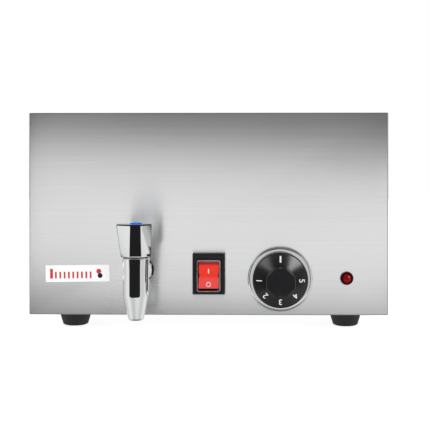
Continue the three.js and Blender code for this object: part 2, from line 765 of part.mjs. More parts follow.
// The capillary and its bulb: from the back of the thermostat, through the well's front wall, to the water.
function thermostatBulb() {
  const back = -HALF_Y + THERMOSTAT_DEPTH + 0.3;
  const tube = wire(
    bent([point(KNOB.x + 10, back, 58), point(KNOB.x + 10, back + 8, 58), point(BULB.x, back + 12, BULB.z),
      point(BULB.x, BULB.start + 5, BULB.z)], 4),
    BULB.wireRadius,
    6,
  );
  return join(tube, bar(point(BULB.x, BULB.start, BULB.z), point(BULB.x, BULB.end, BULB.z), BULB.radius, 10));
}

// The mains wires under the well, gathered in one sleeve from the terminal block to the thermostat.
function wiringLoom() {
  const { radius, clear } = LOOM;
  const low = FLOOR + SHEET + radius + 0.1;
  const front = TERMINALS.y - TERMINALS.half - clear;
  const back = -HALF_Y + THERMOSTAT_DEPTH + clear;
  const route = [
    point(TERMINALS.x, front, low),
    point(TERMINALS.x, front - 25, low),
    point(-60, 120, low),
    point(-60, -205, low),
    point(0, back + 12, low),
    point(60, back + 12, low),
    point(60, back + 12, 42),
    point(60, back, 42),
  ];
  return wire(bent(route, 5), radius, 6);
}

function terminalBlock() {
  const { x, y, half } = TERMINALS;
  const body = block([x - half, y - half, FLOOR + SHEET], [x + half, y + half, 36]);
  const channels = [-4.5, 4.5].map((offset) =>
    block([x + offset - 2.5, y - half - 2, 29], [x + offset + 2.5, y + half + 2, 37]),
  );
  return cut(body, ...channels);
}

function heatingParts() {
  const limiter = bar(point(60, 60, WELL_BOTTOM - 11), point(60, 60, WELL_BOTTOM), 12, 20);
  return [
    piece("heating_element", heatingElement(), MATERIALS.zincSteel),
    ...elementNuts(),
    piece("thermostat_bulb", thermostatBulb(), MATERIALS.brass),
    piece("limit_cutout", limiter, MATERIALS.blackPlastic),
    piece("terminal_block", terminalBlock(), MATERIALS.whiteCeramic),
    piece("wiring_loom", wiringLoom(), MATERIALS.blackRubber),
  ];
}

// ---------------------------------------------------------------- food pan and lid

// The lift-out pan: tapered walls and a flat rim that rests on the deck's ledge.
function foodPan() {
  const bottom = LEDGE - PAN.depth;
  const rim = LEDGE + 1.5;
  const bowl = vessel([[bottom, 134, 236], [bottom + 5, 139, 241], [rim, 149, 249]], 27);
  const flange = cut(
    plate(PAN.rimX, PAN.rimY, PAN.rimCorner, LEDGE, rim),
    plate(148.5, 248.5, 29, LEDGE - 1, rim + 1),
  );
  return join(bowl, flange);
}

const LID = { low: 195.6, high: 203.6, halfX: 147.5, halfY: 247.5 };

// A lid that drops into the pan's mouth, with a flat flange over the rim.
function panLid() {
  const tray = vessel([[LID.low, LID.halfX - 3, LID.halfY - 3], [LID.high, LID.halfX, LID.halfY]], 27);
  const flange = cut(
    plate(161, 263.5, PAN.rimCorner, LID.high - SHEET, LID.high),
    plate(LID.halfX - 0.5, LID.halfY - 0.5, 26.5, LID.high - 3, LID.high + 1),
  );
  return join(tray, flange);
}

function lidHandle() {
  const foot = LID.low + SHEET;
  const grip = 213;
  const corners = [point(-50, 0, foot), point(-50, 0, grip), point(50, 0, grip), point(50, 0, foot)];
  return wire(bent(corners, 10, 4), 3.5, 8);
}

function panParts() {
  return [
    piece("food_pan", foodPan(), MATERIALS.pressedSteel),
    piece("pan_lid", panLid(), MATERIALS.steel),
    piece("lid_handle", lidHandle(), MATERIALS.chrome),
  ];
}

// ---------------------------------------------------------------- power cord

// From the terminal block out through the gland, then a hank of upright turns that works back towards the
// case and ends at the plug.
function cordPoints() {
  const { x, z, hankX, hankRadius, turns, pitch } = CORD;
  const inner = TERMINALS.y + TERMINALS.half + 0.3;
  const inside = bent(
    [point(x, inner, 24), point(x, inner + 20, 24), point(x, HALF_Y - 12, z), point(x, HALF_Y, z)],
    6,
  );
  const lead = [
    point(x, HALF_Y + 20, z),
    point(x + 1, HANK_Y - 18, z - 0.5),
    point(x + 6, HANK_Y - 7, z - 4),
    point(x + 17, HANK_Y - 1.5, z - 12),
    point(x + 34, HANK_Y, z - 23),
    point(x + 56, HANK_Y, z - 34),
  ];
  const stepsPerTurn = 20;
  const hank = Array.from({ length: turns * stepsPerTurn + 1 }, (_, i) => {
    const turn = i / stepsPerTurn;
    const angle = 2 * Math.PI * (turn - 0.25);
    const across = hankRadius * Math.cos(angle);
    const up = hankRadius * Math.sin(angle);
    return point(hankX + across, HANK_Y - pitch * turn, HANK_Z + up);
  });
  const start = hank[0].clone().lerp(lead.at(-1), 0.35).setZ(HANK_Z - hankRadius + 0.6);
  const last = hank.at(-1);
  const end = point(PLUG.x, PLUG_Y, PLUG.halfZ + 0.2);
  const socket = end.clone().setX(PLUG.x - 9);
  const tail = [0.3, 0.65].map((share) => last.clone().lerp(socket, share));
  return [...inside, ...lead, start, ...hank, ...tail, socket, end];
}

function cordGland() {
  const bore = CORD.radius + 0.3;
  const sleeve = turned(
    [[bore, -6], [7.6, -6], [7.6, 0], [11, 0], [11, 3], [7, 3.5], [5.4, 19], [bore, 19], [bore, -6]],
    16,
  );
  const gland = piece("cord_gland", sleeve, MATERIALS.blackPlastic);
  gland.position.set(CORD.x, HALF_Y, CORD.z);
  gland.rotation.x = -Math.PI / 2; // its axis points out of the back
  return gland;
}

// A three-pin plug: two slanted blades and an upright one.
function plug() {
  const group = new THREE.Group();
  group.position.set(PLUG.x, PLUG_Y, PLUG.halfZ + 0.2);
  group.rotation.y = Math.PI / 2; // +z runs from the cord to the pins
  const { length, halfY, halfZ } = PLUG;
  const moulding = stretched(roundedRectangle(6, 5, 3), [
    [-6, 6, 6],
    [8, 8, 7],
    [20, halfZ, halfY],
    [length, halfZ, halfY],
  ], 1);
  const cordSocket = bar(point(0, 0, -7), point(0, 0, 1), CORD.radius + 0.5, 12);
  group.add(piece("plug_body", cut(moulding, cordSocket), MATERIALS.blackPlastic));
  const pins = { live: [5.5, -6.5, 30], neutral: [5.5, 6.5, -30], earth: [-8, 0, 90] };
  for (const [name, [x, y, turn]] of Object.entries(pins)) {
    const blade = piece(`plug_pin_${name}`, block([-3.15, -0.8, 0], [3.15, 0.8, 17]), MATERIALS.brass);
    blade.position.set(x, y, length);
    blade.rotation.z = radians(turn);
    group.add(blade);
  }
  return group;
}

// A flat strap round all the strands on the hank's plug side.
function cordTie() {
  const { hankX, hankRadius, radius, turns, pitch } = CORD;
  const strandX = hankX + hankRadius;
  const nearest = HANK_Y - pitch * (turns - 0.75) - radius;
  const farthest = HANK_Y - pitch * 0.25 + radius;
  const around = (gap, halfWidth) =>
    block(
      [strandX - radius - gap, nearest - gap, HANK_Z - halfWidth],
      [strandX + radius + gap, farthest + gap, HANK_Z + halfWidth],
    );
  return piece("cord_tie", cut(around(1.5, 3), around(0.4, 4)), MATERIALS.blackPlastic);
}

function cordParts() {
  const cord = piece("power_cord", wire(cordPoints(), CORD.radius, 8), MATERIALS.blackRubber);
  return [cordGland(), cord, cordTie(), plug()];
}

// ---------------------------------------------------------------- the whole object

const dispenser = new THREE.Group();
dispenser.name = "nacho_cheese_dispenser";
dispenser.add(
  ...caseParts(),
  controlParts(),
  tapParts(),
  ...heatingParts(),
  ...panParts(),
  ...cordParts(),
);

export default dispenser;
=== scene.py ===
"""Looks for the nacho cheese dispenser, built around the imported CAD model.

Shapes are drawn in millimetres in the CAD model's frame (+X right, front at -Y, +Z up) and scaled to metres
when each piece is made. Parts on the front panel are drawn as seen from the front: x right, y up, z outwards.
"""

import json
import math

import bmesh
import bpy
from mathutils import Matrix, Vector

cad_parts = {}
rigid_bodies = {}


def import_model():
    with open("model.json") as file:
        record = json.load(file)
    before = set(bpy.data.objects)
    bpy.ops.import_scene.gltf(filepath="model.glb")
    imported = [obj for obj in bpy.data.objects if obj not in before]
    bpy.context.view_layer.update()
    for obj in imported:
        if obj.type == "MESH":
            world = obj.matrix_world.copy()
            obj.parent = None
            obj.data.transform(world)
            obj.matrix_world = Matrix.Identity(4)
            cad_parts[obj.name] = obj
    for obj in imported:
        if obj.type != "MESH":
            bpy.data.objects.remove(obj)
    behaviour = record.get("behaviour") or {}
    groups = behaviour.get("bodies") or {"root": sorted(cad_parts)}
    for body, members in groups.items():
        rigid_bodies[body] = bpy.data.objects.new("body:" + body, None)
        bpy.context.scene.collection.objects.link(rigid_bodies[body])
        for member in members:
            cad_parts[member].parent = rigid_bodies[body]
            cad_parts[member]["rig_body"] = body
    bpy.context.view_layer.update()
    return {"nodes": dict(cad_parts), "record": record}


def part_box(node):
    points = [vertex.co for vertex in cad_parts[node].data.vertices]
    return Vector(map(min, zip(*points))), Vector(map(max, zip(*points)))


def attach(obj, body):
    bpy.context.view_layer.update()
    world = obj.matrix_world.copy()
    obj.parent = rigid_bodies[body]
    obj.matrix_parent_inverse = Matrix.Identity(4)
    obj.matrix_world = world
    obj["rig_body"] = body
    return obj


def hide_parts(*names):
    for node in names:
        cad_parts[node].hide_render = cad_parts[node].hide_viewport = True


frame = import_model()

MM = 0.001
DEG = math.pi / 180

# ---------------------------------------------------------------- places and sizes, from the CAD model


def box(node):
    """A CAD node's lowest and highest corners, in millimetres."""
    return [[round(value / MM, 2) for value in corner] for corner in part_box(node)]


def middle(node):
    return [(low + high) / 2 for low, high in zip(*box(node))]


CASE_LOW, CASE_HIGH = box("front_casing")
BODY_X, BODY_Y = CASE_HIGH[0], -CASE_LOW[1]
BODY_LOW, BODY_TOP = CASE_LOW[2], CASE_HIGH[2]
SHEET = 1.0
FOLD_OUTER, FOLD_INNER = 1.2, 0.6
BASE_FLANGE, REAR_FLANGE = 14.0, 13.0

# The opening for the pan, and the ledge below it that carries the pan's rim.
RECESS_X, RECESS_Y, RECESS_CORNER = 163.0, 265.5, 12.0
LEDGE = BODY_TOP - 4.0

FOOT_RECESS = 7.0
SWITCH_X, _, SWITCH_Z = middle("switch_cover")
KNOB_X, _, KNOB_Z = middle("knob_bezel")
LAMP_X, _, LAMP_Z = middle("lamp_lens")
LABEL_X, _, LABEL_Z = middle("label")
TAP_X, TAP_Y, _ = middle("tap_cartridge")
TAP_STAND_OUT = -BODY_Y - TAP_Y
SHANK_Z = middle("tap_seal_outer")[2]
CORD_X, _, CORD_Z = middle("cord_gland")

FRAME_RISE = middle("switch_housing")[2] - SWITCH_Z
ROCKER_PIVOT, ROCKER_TILT = 2.5, -10 * DEG
LABEL_TILT = 0.7 * DEG
HANDLE_TURN, HANDLE_TWIST = 10 * DEG, 8 * DEG

# The cord is stored as a standing hank behind the case, with its plug lying against the rear panel.
CORD_R, CORD_REACH = 3.5, 52.0
HANK_R, HANK_TURNS, HANK_PITCH = 58.0, 3, 9.0
HANK_X = middle("cord_tie")[0] - HANK_R
HANK_Y = BODY_Y + CORD_REACH - CORD_R
HANK_Z = HANK_R + CORD_R + 0.1
PLUG_SLEEVE = 6.0
PLUG_X = box("plug_body")[0][0] + PLUG_SLEEVE
_, PLUG_Y, PLUG_Z = middle("plug_body")

# Where shapes drawn about +Z go: out of the front panel, head down, or along the tap's shank.
PANEL = Matrix.Translation((0, -BODY_Y, 0)) @ Matrix.Rotation(math.pi / 2, 4, "X")
HEAD_DOWN = Matrix.Rotation(math.pi, 4, "X")
SHANK_ALONG = Matrix.Translation((0, 0, SHANK_Z)) @ Matrix.Rotation(-math.pi / 2, 4, "X")


def on_panel(x, z):
    return PANEL @ Matrix.Translation((x, z, 0))


def on_back(x, z):
    return Matrix.Translation((x, BODY_Y, z)) @ Matrix.Rotation(-math.pi / 2, 4, "X")


# ---------------------------------------------------------------- shapes


def bridge(bm, low, high):
    """Faces between two rings of corners. A ring of one corner makes a fan."""
    count = max(len(low), len(high))
    for i in range(count):
        j = (i + 1) % count
        corners = [low[i % len(low)], low[j % len(low)], high[j % len(high)], high[i % len(high)]]
        corners = list(dict.fromkeys(corners))
        if len(corners) > 2:
            bm.faces.new(corners)


def soften(points, reach, steps=4):
    """The points of a line with each inner corner rounded over the given reach."""
    side_share = 0.45
    points = [Vector(p) for p in points]
    soft = [points[0]]
    for before, corner, after in zip(points, points[1:], points[2:]):
        back, on = before - corner, after - corner
        start = corner + back * min(reach / back.length, side_share)
        end = corner + on * min(reach / on.length, side_share)
        for i in range(steps + 1):
            t = i / steps
            soft.append(start.lerp(corner, t).lerp(corner.lerp(end, t), t))
    return soft + [points[-1]]


def lathe(profile, segments=96):
    """A shape turned about Z from (radius, height) pairs; it closes on itself if its ends are the same."""
    on_axis, same_place = 1e-6, 1e-5
    bm = bmesh.new()
    rings = []
    for radius, height in profile:
        if radius < on_axis:
            rings.append([bm.verts.new((0, 0, height))])
            continue
        angles = [2 * math.pi * i / segments for i in range(segments)]
        rings.append([bm.verts.new((radius * math.cos(a), radius * math.sin(a), height)) for a in angles])
    for low, high in zip(rings, rings[1:]):
        bridge(bm, low, high)
    bmesh.ops.remove_doubles(bm, verts=bm.verts, dist=same_place)
    return bm


def loft(loops, cap_first=True):
    bm = bmesh.new()
    rings = [[bm.verts.new(p) for p in loop] for loop in loops]
    for low, high in zip(rings, rings[1:]):
        bridge(bm, low, high)
    if cap_first:
        bm.faces.new(rings[0])
    bm.faces.new(rings[-1])
    return bm


def rounded_loop(half_x, half_y, radius, z, steps):
    loop = []
    for corner, (sx, sy) in enumerate([(1, 1), (-1, 1), (-1, -1), (1, -1)]):
        for i in range(steps + 1):
            a = (corner + i / steps) * math.pi / 2
            x = sx * (half_x - radius) + radius * math.cos(a)
            y = sy * (half_y - radius) + radius * math.sin(a)
            loop.append((x, y, z))
    return loop


def levels(rows, reach=0.0, steps=8, cap_first=True):
    """A loft through rounded rectangles given as (half x, half y, corner radius, z) rows."""
    rows = soften(rows, reach) if reach else rows
    return loft([rounded_loop(*row, steps=steps) for row in rows], cap_first)


def slab(half_x, half_y, radius, low, high, steps):
    """A flat rounded rectangle between two heights."""
    return levels([(half_x, half_y, radius, low), (half_x, half_y, radius, high)], steps=steps)


def cuboid(low, high):
    bm = bmesh.new()
    bmesh.ops.create_cube(bm, size=1)
    low, high = Vector(low), Vector(high)
    size = high - low
    bm.transform(Matrix.Translation((low + high) / 2) @ Matrix.Diagonal((*size, 1)))
    return bm


def rod(start, end, radius, sides):
    """A round bar between two points."""
    start, end = Vector(start), Vector(end)
    along = end - start
    bm = lathe([(0, 0), (radius, 0), (radius, along.length), (0, along.length)], sides)
    bm.transform(Matrix.Translation(start) @ along.to_track_quat("Z", "Y").to_matrix().to_4x4())
    return bm


def tube(path, radius, sides=20):
    """A round tube along a line of points, with its section carried along without twist."""
    shortest_side = 1e-3
    path = [Vector(p) for p in path]
    side = Vector((0, 0, 1))
    loops = []
    for i, here in enumerate(path):
        along = (path[min(i + 1, len(path) - 1)] - path[max(i - 1, 0)]).normalized()
        side = side - along * side.dot(along)
        if side.length < shortest_side:
            side = along.orthogonal()
        side.normalize()
        up = along.cross(side)
        around = [2 * math.pi * k / sides for k in range(sides)]
        loops.append([here + radius * (side * math.cos(a) + up * math.sin(a)) for a in around])
    return loft(loops)


def smooth_path(points, steps):
    """A Catmull-Rom curve through the points."""
    points = [Vector(p) for p in points]
    ends = [points[0] * 2 - points[1]] + points + [points[-1] * 2 - points[-2]]
    path = []
    for a, b, c, d in zip(ends, ends[1:], ends[2:], ends[3:]):
        for i in range(steps):
            t = i / steps
            doubled = 2 * b + (c - a) * t + (2 * a - 5 * b + 4 * c - d) * t**2
            doubled += (3 * b - a - 3 * c + d) * t**3
            path.append(0.5 * doubled)
    return path + [points[-1]]


def moved(bm, matrix):
    bm.transform(matrix)
    return bm


def merged(*parts):
    whole = bmesh.new()
    for part in parts:
        mesh = bpy.data.meshes.new("part")
        part.to_mesh(mesh)
        part.free()
        whole.from_mesh(mesh)
        bpy.data.meshes.remove(mesh)
    return whole


def bevelled(bm, width, steps=3, angle=30, pick=lambda edge: True):
    """Rounds every edge that is sharper than the angle and that pick accepts."""
    bmesh.ops.recalc_face_normals(bm, faces=bm.faces)
    sharp = [e for e in bm.edges if e.is_manifold and e.calc_face_angle() > angle * DEG]
    bmesh.ops.bevel(
        bm,
        geom=[e for e in sharp if pick(e)],
        offset=width,
        offset_type="OFFSET",
        segments=steps,
        profile=0.5,
        affect="EDGES",
        clamp_overlap=True,
    )
    return bm


def scratch_object(bm):
    mesh = bpy.data.meshes.new("scratch")
    bmesh.ops.recalc_face_normals(bm, faces=bm.faces)
    bm.to_mesh(mesh)
    bm.free()
    made = bpy.data.objects.new("scratch", mesh)
    bpy.context.scene.collection.objects.link(made)
    return made


def carved(bm, *cutters):
    """The shape with each cutter's volume taken away."""
    base = scratch_object(bm)
    tools = [scratch_object(cutter) for cutter in cutters]
    for tool in tools:
        step = base.modifiers.new("cut", "BOOLEAN")
        step.operation = "DIFFERENCE"
        step.solver = "EXACT"
        step.object = tool
    depsgraph = bpy.context.evaluated_depsgraph_get()
    result = bmesh.new()
    result.from_mesh(base.evaluated_get(depsgraph).to_mesh())
    for spare in [base, *tools]:
        bpy.data.objects.remove(spare)
    return result


# ---------------------------------------------------------------- materials


class Graph:
    """A small helper that adds shader nodes and wires them up."""

    def __init__(self, tree):
        self.tree = tree
        tree.nodes.clear()

    def add(self, kind, settings=None, **inputs):
        """Adds a node. An input is named with _ for each space, or by its number as _0, _1 and so on."""
        node = self.tree.nodes.new(kind)
        for key, value in (settings or {}).items():
            setattr(node, key, value)
        for key, value in inputs.items():
            place = int(key[1:]) if key.startswith("_") else key.replace("_", " ")
            self.feed(node.inputs[place], value)
        return node

    def feed(self, socket, value):
        if isinstance(value, bpy.types.NodeSocket):
            self.tree.links.new(value, socket)
        elif isinstance(value, bpy.types.Node):
            self.tree.links.new(value.outputs[0], socket)
        else:
            socket.default_value = value

    def math(self, operation, a, b=0.0, clamp=False):
        return self.add("ShaderNodeMath", {"operation": operation, "use_clamp": clamp}, _0=a, _1=b)

    def ramp(self, value, low, high, out_low=0.0, out_high=1.0):
        settings = {"interpolation_type": "SMOOTHSTEP"}
        return self.add("ShaderNodeMapRange", settings, _0=value, _1=low, _2=high, _3=out_low, _4=out_high)

    def mix(self, factor, a, b):
        node = self.add("ShaderNodeMix", {"data_type": "RGBA"})
        self.feed(node.inputs["Factor"], factor)
        self.feed(node.inputs[6], a)
        self.feed(node.inputs[7], b)
        return node.outputs[2]

    def noise(self, vector, scale=1.0, detail=4.0, roughness=0.6):
        settings = {"Scale": scale, "Detail": detail, "Roughness": roughness}
        return self.add("ShaderNodeTexNoise", Vector=vector, **settings).outputs["Fac"]

    def coordinates(self, kind):
        return self.add("ShaderNodeTexCoord").outputs[kind]

    def axes(self, vector):
        return self.add("ShaderNodeSeparateXYZ", Vector=vector).outputs


def new_material(name):
    """An empty node material and the helper that fills it."""
    made = bpy.data.materials.new(name)
    made.use_nodes = True
    return made, Graph(made.node_tree)


def rgb(r, g, b):
    return (r, g, b, 1.0)


def scaled(color, factor):
    return rgb(*(min(1.0, channel * factor) for channel in color))


def surface(
    name,
    color,
    roughness,
    metallic=0.0,
    grain=(400, 400, 400),
    tint=0.12,
    wear=0.08,
    bump=0.05,
    **extra,
):
    """A material whose colour, roughness and fine relief vary with procedural noise.

    Further shader inputs are given as values, or as functions of the node graph.
    """
    made, g = new_material(name)
    where = g.coordinates("Object")
    fine = g.noise(g.add("ShaderNodeMapping", Vector=where, Scale=grain), detail=3.0)
    broad = g.noise(where, scale=28.0)
    shade = g.ramp(broad, 0.3, 0.7, 1 - tint, 1.0)
    varied = g.mix(shade, scaled(color, 1 - tint), rgb(*color))
    uneven = g.math("ADD", g.math("MULTIPLY", broad, wear), g.math("MULTIPLY", fine, wear))
    rough = g.math("ADD", uneven, roughness - wear, clamp=True)
    relief = g.add("ShaderNodeBump", Strength=bump, Distance=0.0002, Height=fine)
    bsdf = g.add(
        "ShaderNodeBsdfPrincipled",
        Base_Color=varied,
        Roughness=rough,
        Metallic=metallic,
        Normal=relief,
    )
    for key, value in extra.items():
        g.feed(bsdf.inputs[key.replace("_", " ")], value(g) if callable(value) else value)
    g.add("ShaderNodeOutputMaterial", Surface=bsdf)
    return made


def brushed(name, color, roughness, anisotropy):
    """Steel with fine straight lines: level round the upright faces, and along X on the flat ones."""
    contrast = 0.03
    line_wear, broad_wear = 0.06, 0.05
    made, g = new_material(name)
    where = g.coordinates("Object")
    x, y, z = g.axes(where)
    facing_up = g.math("ABSOLUTE", g.axes(g.coordinates("Normal"))["Z"])
    flat = g.math("GREATER_THAN", facing_up, 0.7)
    upright = g.math("SUBTRACT", 1.0, flat)
    across = g.math("ADD", g.math("MULTIPLY", y, flat), g.math("MULTIPLY", z, upright))
    along = g.math("ADD", x, y)

    def streaks(along_scale, across_scale, detail, noise_roughness):
        stretched = g.add(
            "ShaderNodeCombineXYZ",
            X=g.math("MULTIPLY", along, along_scale),
            Y=g.math("MULTIPLY", across, across_scale),
        )
        return g.noise(stretched, 1.0, detail, noise_roughness)

    fine = streaks(9.0, 1900.0, 3.0, 0.7)
    long = streaks(2.5, 420.0, 2.0, 0.5)
    broad = g.noise(where, 9.0, 3.0, 0.5)
    lines = g.math("ADD", g.math("MULTIPLY", fine, 0.6), g.math("MULTIPLY", long, 0.4))
    metal = g.mix(g.ramp(lines, 0.3, 0.7), scaled(color, 1 - contrast), scaled(color, 1 + contrast))
    rough = g.math("ADD", g.math("MULTIPLY", lines, line_wear), g.math("MULTIPLY", broad, broad_wear))
    rough = g.math("ADD", rough, roughness - (line_wear + broad_wear) / 2)
    round_z = g.add("ShaderNodeTangent", {"direction_type": "RADIAL", "axis": "Z"})
    bsdf = g.add(
        "ShaderNodeBsdfPrincipled",
        Base_Color=metal,
        Roughness=rough,
        Metallic=1.0,
        Normal=g.add("ShaderNodeBump", Strength=0.012, Distance=0.0001, Height=lines),
        Anisotropic=anisotropy,
        Anisotropic_Rotation=0.25,
        Tangent=g.mix(flat, round_z, (1.0, 0.0, 0.0, 1.0)),
    )
    g.add("ShaderNodeOutputMaterial", Surface=bsdf)
    return made


def clear_plastic(name):
    """Thin clear moulding: mostly see-through, with faint flow marks and more sheen towards its edges."""
    made, g = new_material(name)
    flow = g.noise(g.coordinates("Object"), scale=160.0, detail=3.0)
    relief = g.add("ShaderNodeBump", Strength=0.15, Distance=0.0003, Height=flow)
    sheen = g.add("ShaderNodeBsdfGlossy", Color=rgb(1, 1, 1), Roughness=0.12, Normal=relief)
    through = g.add("ShaderNodeBsdfTransparent", Color=rgb(0.93, 0.93, 0.93))
    edge = g.add("ShaderNodeLayerWeight", Blend=0.5, Normal=relief).outputs["Facing"]
    both = g.add("ShaderNodeMixShader", _0=g.ramp(edge, 0.0, 1.0, 0.05, 0.4), _1=through, _2=sheen)
    milky = g.add("ShaderNodeBsdfDiffuse", Color=rgb(0.8, 0.8, 0.8))
    rim = g.add("ShaderNodeMixShader", _0=g.ramp(edge, 0.25, 0.8, 0.0, 0.5), _1=both, _2=milky)
    g.add("ShaderNodeOutputMaterial", Surface=rim)
    return made


BRIGHT_METAL = (0.93, 0.935, 0.94)


def painted_dark_edges(g):
    """Chrome, with the tap handle's rounded edges and top rim painted black: a painted reflection of dark
    surroundings.
    """
    facing = g.add("ShaderNodeLayerWeight", Blend=0.5).outputs["Facing"]
    upward = g.axes(g.coordinates("Normal"))["Z"]
    rim = g.math("MULTIPLY", g.ramp(upward, 0.2, 0.35), g.ramp(upward, 0.85, 0.95, 1.0, 0.0))
    edge = g.math("MAXIMUM", g.ramp(facing, 0.36, 0.46), rim)
    return g.mix(edge, rgb(*BRIGHT_METAL), rgb(0.03, 0.03, 0.032))


def rocker_glow_with_painted_shade(g):
    """The lit rocker's glow, with painted shade that dims it at its pressed-in upper end."""
    end, fade = SWITCH_Z + 11.6, 2.4
    return g.ramp(g.axes(g.coordinates("Object"))["Z"], (end - fade) * MM, end * MM, 0.6, 0.02)


def rocker_tint_with_painted_sheen(g):
    """Orange red above; paler and pinker on the lower half that faces up, a painted sheen of the light
    falling on it.
    """
    fade = 3.0
    height = g.axes(g.coordinates("Object"))["Z"]
    pale = g.ramp(height, (SWITCH_Z - fade) * MM, SWITCH_Z * MM, 1.0, 0.0)
    return g.mix(pale, rgb(1.0, 0.045, 0.02), rgb(1.0, 0.11, 0.10))


STEEL = brushed("brushed_steel", (0.76, 0.762, 0.765), 0.284, anisotropy=0.93)
PRESSED = brushed("pressed_steel", (0.72, 0.725, 0.73), 0.2, anisotropy=0.5)
CHROME = surface("chrome", BRIGHT_METAL, 0.05, 1.0, tint=0.03, wear=0.03, bump=0.01)
# the tap handle's chrome, with painted dark reflections on its rounded edges and top rim
HANDLE_CHROME_PAINTED_EDGES = surface("handle_chrome_painted_dark_edges", BRIGHT_METAL, 0.05, 1.0, bump=0.01, Base_Color=painted_dark_edges)
ZINC = surface("zinc_steel", (0.62, 0.63, 0.65), 0.34, 1.0, grain=(900, 900, 900), tint=0.15, wear=0.12)
BRASS = surface("brass", (0.74, 0.56, 0.27), 0.3, 1.0, tint=0.15, wear=0.1)
GLOSS_BLACK = surface("gloss_black", (0.01, 0.01, 0.011), 0.2, grain=(900, 900, 900), wear=0.05, bump=0.04)
BLACK = surface("black_plastic", (0.014, 0.014, 0.016), 0.36, grain=(1600, 1600, 1600), bump=0.12)
RUBBER = surface("black_rubber", (0.018, 0.018, 0.018), 0.68, grain=(1100, 1100, 1100), tint=0.3, bump=0.2)
# The rocker's glow carries painted shade at its upper end and a painted sheen on its lower half.
RED = surface(
    "red_rocker_painted_shade_and_sheen",
    (0.42, 0.012, 0.008),
    0.3,
    grain=(700, 700, 700),
    tint=0.1,
    bump=0.04,
    # glow colour, with a painted sheen on the lower half
    Emission_Color=rocker_tint_with_painted_sheen,
    Emission_Strength=rocker_glow_with_painted_shade,
    Coat_Weight=0.25,
)
LAMP_LOOK = {"tint": 0.3, "bump": 0.02, "Specular_IOR_Level": 0.25}
LAMP_RED = surface("lamp_red", (0.17, 0.002, 0.004), 0.08, **LAMP_LOOK)
LAMP_DARK = surface("lamp_rim_red", (0.03, 0.001, 0.002), 0.1, **LAMP_LOOK)
BLUE = surface("index_blue", (0.003, 0.17, 0.95), 0.16, tint=0.15, bump=0.02, Coat_Weight=0.5)
INK = surface("white_mark", (0.86, 0.86, 0.86), 0.45, tint=0.05, bump=0.02)
LABEL_WHITE = surface("label_white", (0.9, 0.9, 0.9), 0.35, tint=0.02, bump=0.02)
LABEL_RED = surface("label_red", (0.62, 0.025, 0.035), 0.4, tint=0.15, bump=0.02)
CERAMIC = surface("white_ceramic", (0.78, 0.75, 0.68), 0.4, tint=0.1)
CLEAR = clear_plastic("clear_cover")

CAD_LOOKS = {
    "brushed_steel": STEEL,
    "pressed_steel": PRESSED,
    "zinc_steel": ZINC,
    "chrome": CHROME,
    "brass": BRASS,
    "black_plastic": BLACK,
    "black_rubber": RUBBER,
    "red_lens": RED,
    "dark_red_lens": LAMP_RED,
    "blue_plastic": BLUE,
    "clear_cover": CLEAR,
    "white_label": LABEL_WHITE,
    "white_ceramic": CERAMIC,
}
SLOT_OF = {part["node"]: part["material_slot"] for part in frame["record"]["subparts"]}


# ---------------------------------------------------------------- pieces


def piece(name, bm, look, stands_for=None, body=None, smooth=35):
    """Makes a shape in millimetres a piece of the object.

    It rides with the body of the CAD node it stands for, unless a body is given, and that node is hidden.
    """
    bmesh.ops.recalc_face_normals(bm, faces=bm.faces)
    bm.transform(Matrix.Scale(MM, 4))
    mesh = bpy.data.meshes.new(name)
    bm.to_mesh(mesh)
    bm.free()
    mesh.polygons.foreach_set("use_smooth", [True] * len(mesh.polygons))
    mesh.set_sharp_from_angle(angle=smooth * DEG)
    mesh.materials.append(look)
    made = bpy.data.objects.new(name, mesh)
    bpy.context.scene.collection.objects.link(made)
    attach(made, body or frame["nodes"][stands_for]["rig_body"])
    if stands_for:
        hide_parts(stands_for)
    return made


def dress_cad_nodes():
    """Gives every CAD node its material, and softens the edges of the sheet parts that stay in view."""
    softened = {
        "rear_panel": 0.3,
        "base_plate": 0.3,
        "top_deck": 0.3,
        "terminal_block": 0.5,
        "thermostat_body": 0.6,
        "plug_pin_live": 0.25,
        "plug_pin_neutral": 0.25,
        "plug_pin_earth": 0.25,
    }
    for name, node in frame["nodes"].items():
        node.data.materials.clear()
        node.data.materials.append(CAD_LOOKS[SLOT_OF[name]])
        weld = node.modifiers.new("weld", "WELD")
        weld.merge_threshold = 1e-6
        if name in softened:
            edges = node.modifiers.new("soft_edges", "BEVEL")
            edges.width = softened[name] * MM
            edges.segments = 2
            edges.limit_method = "ANGLE"
            edges.angle_limit = 40 * DEG


# ---------------------------------------------------------------- case


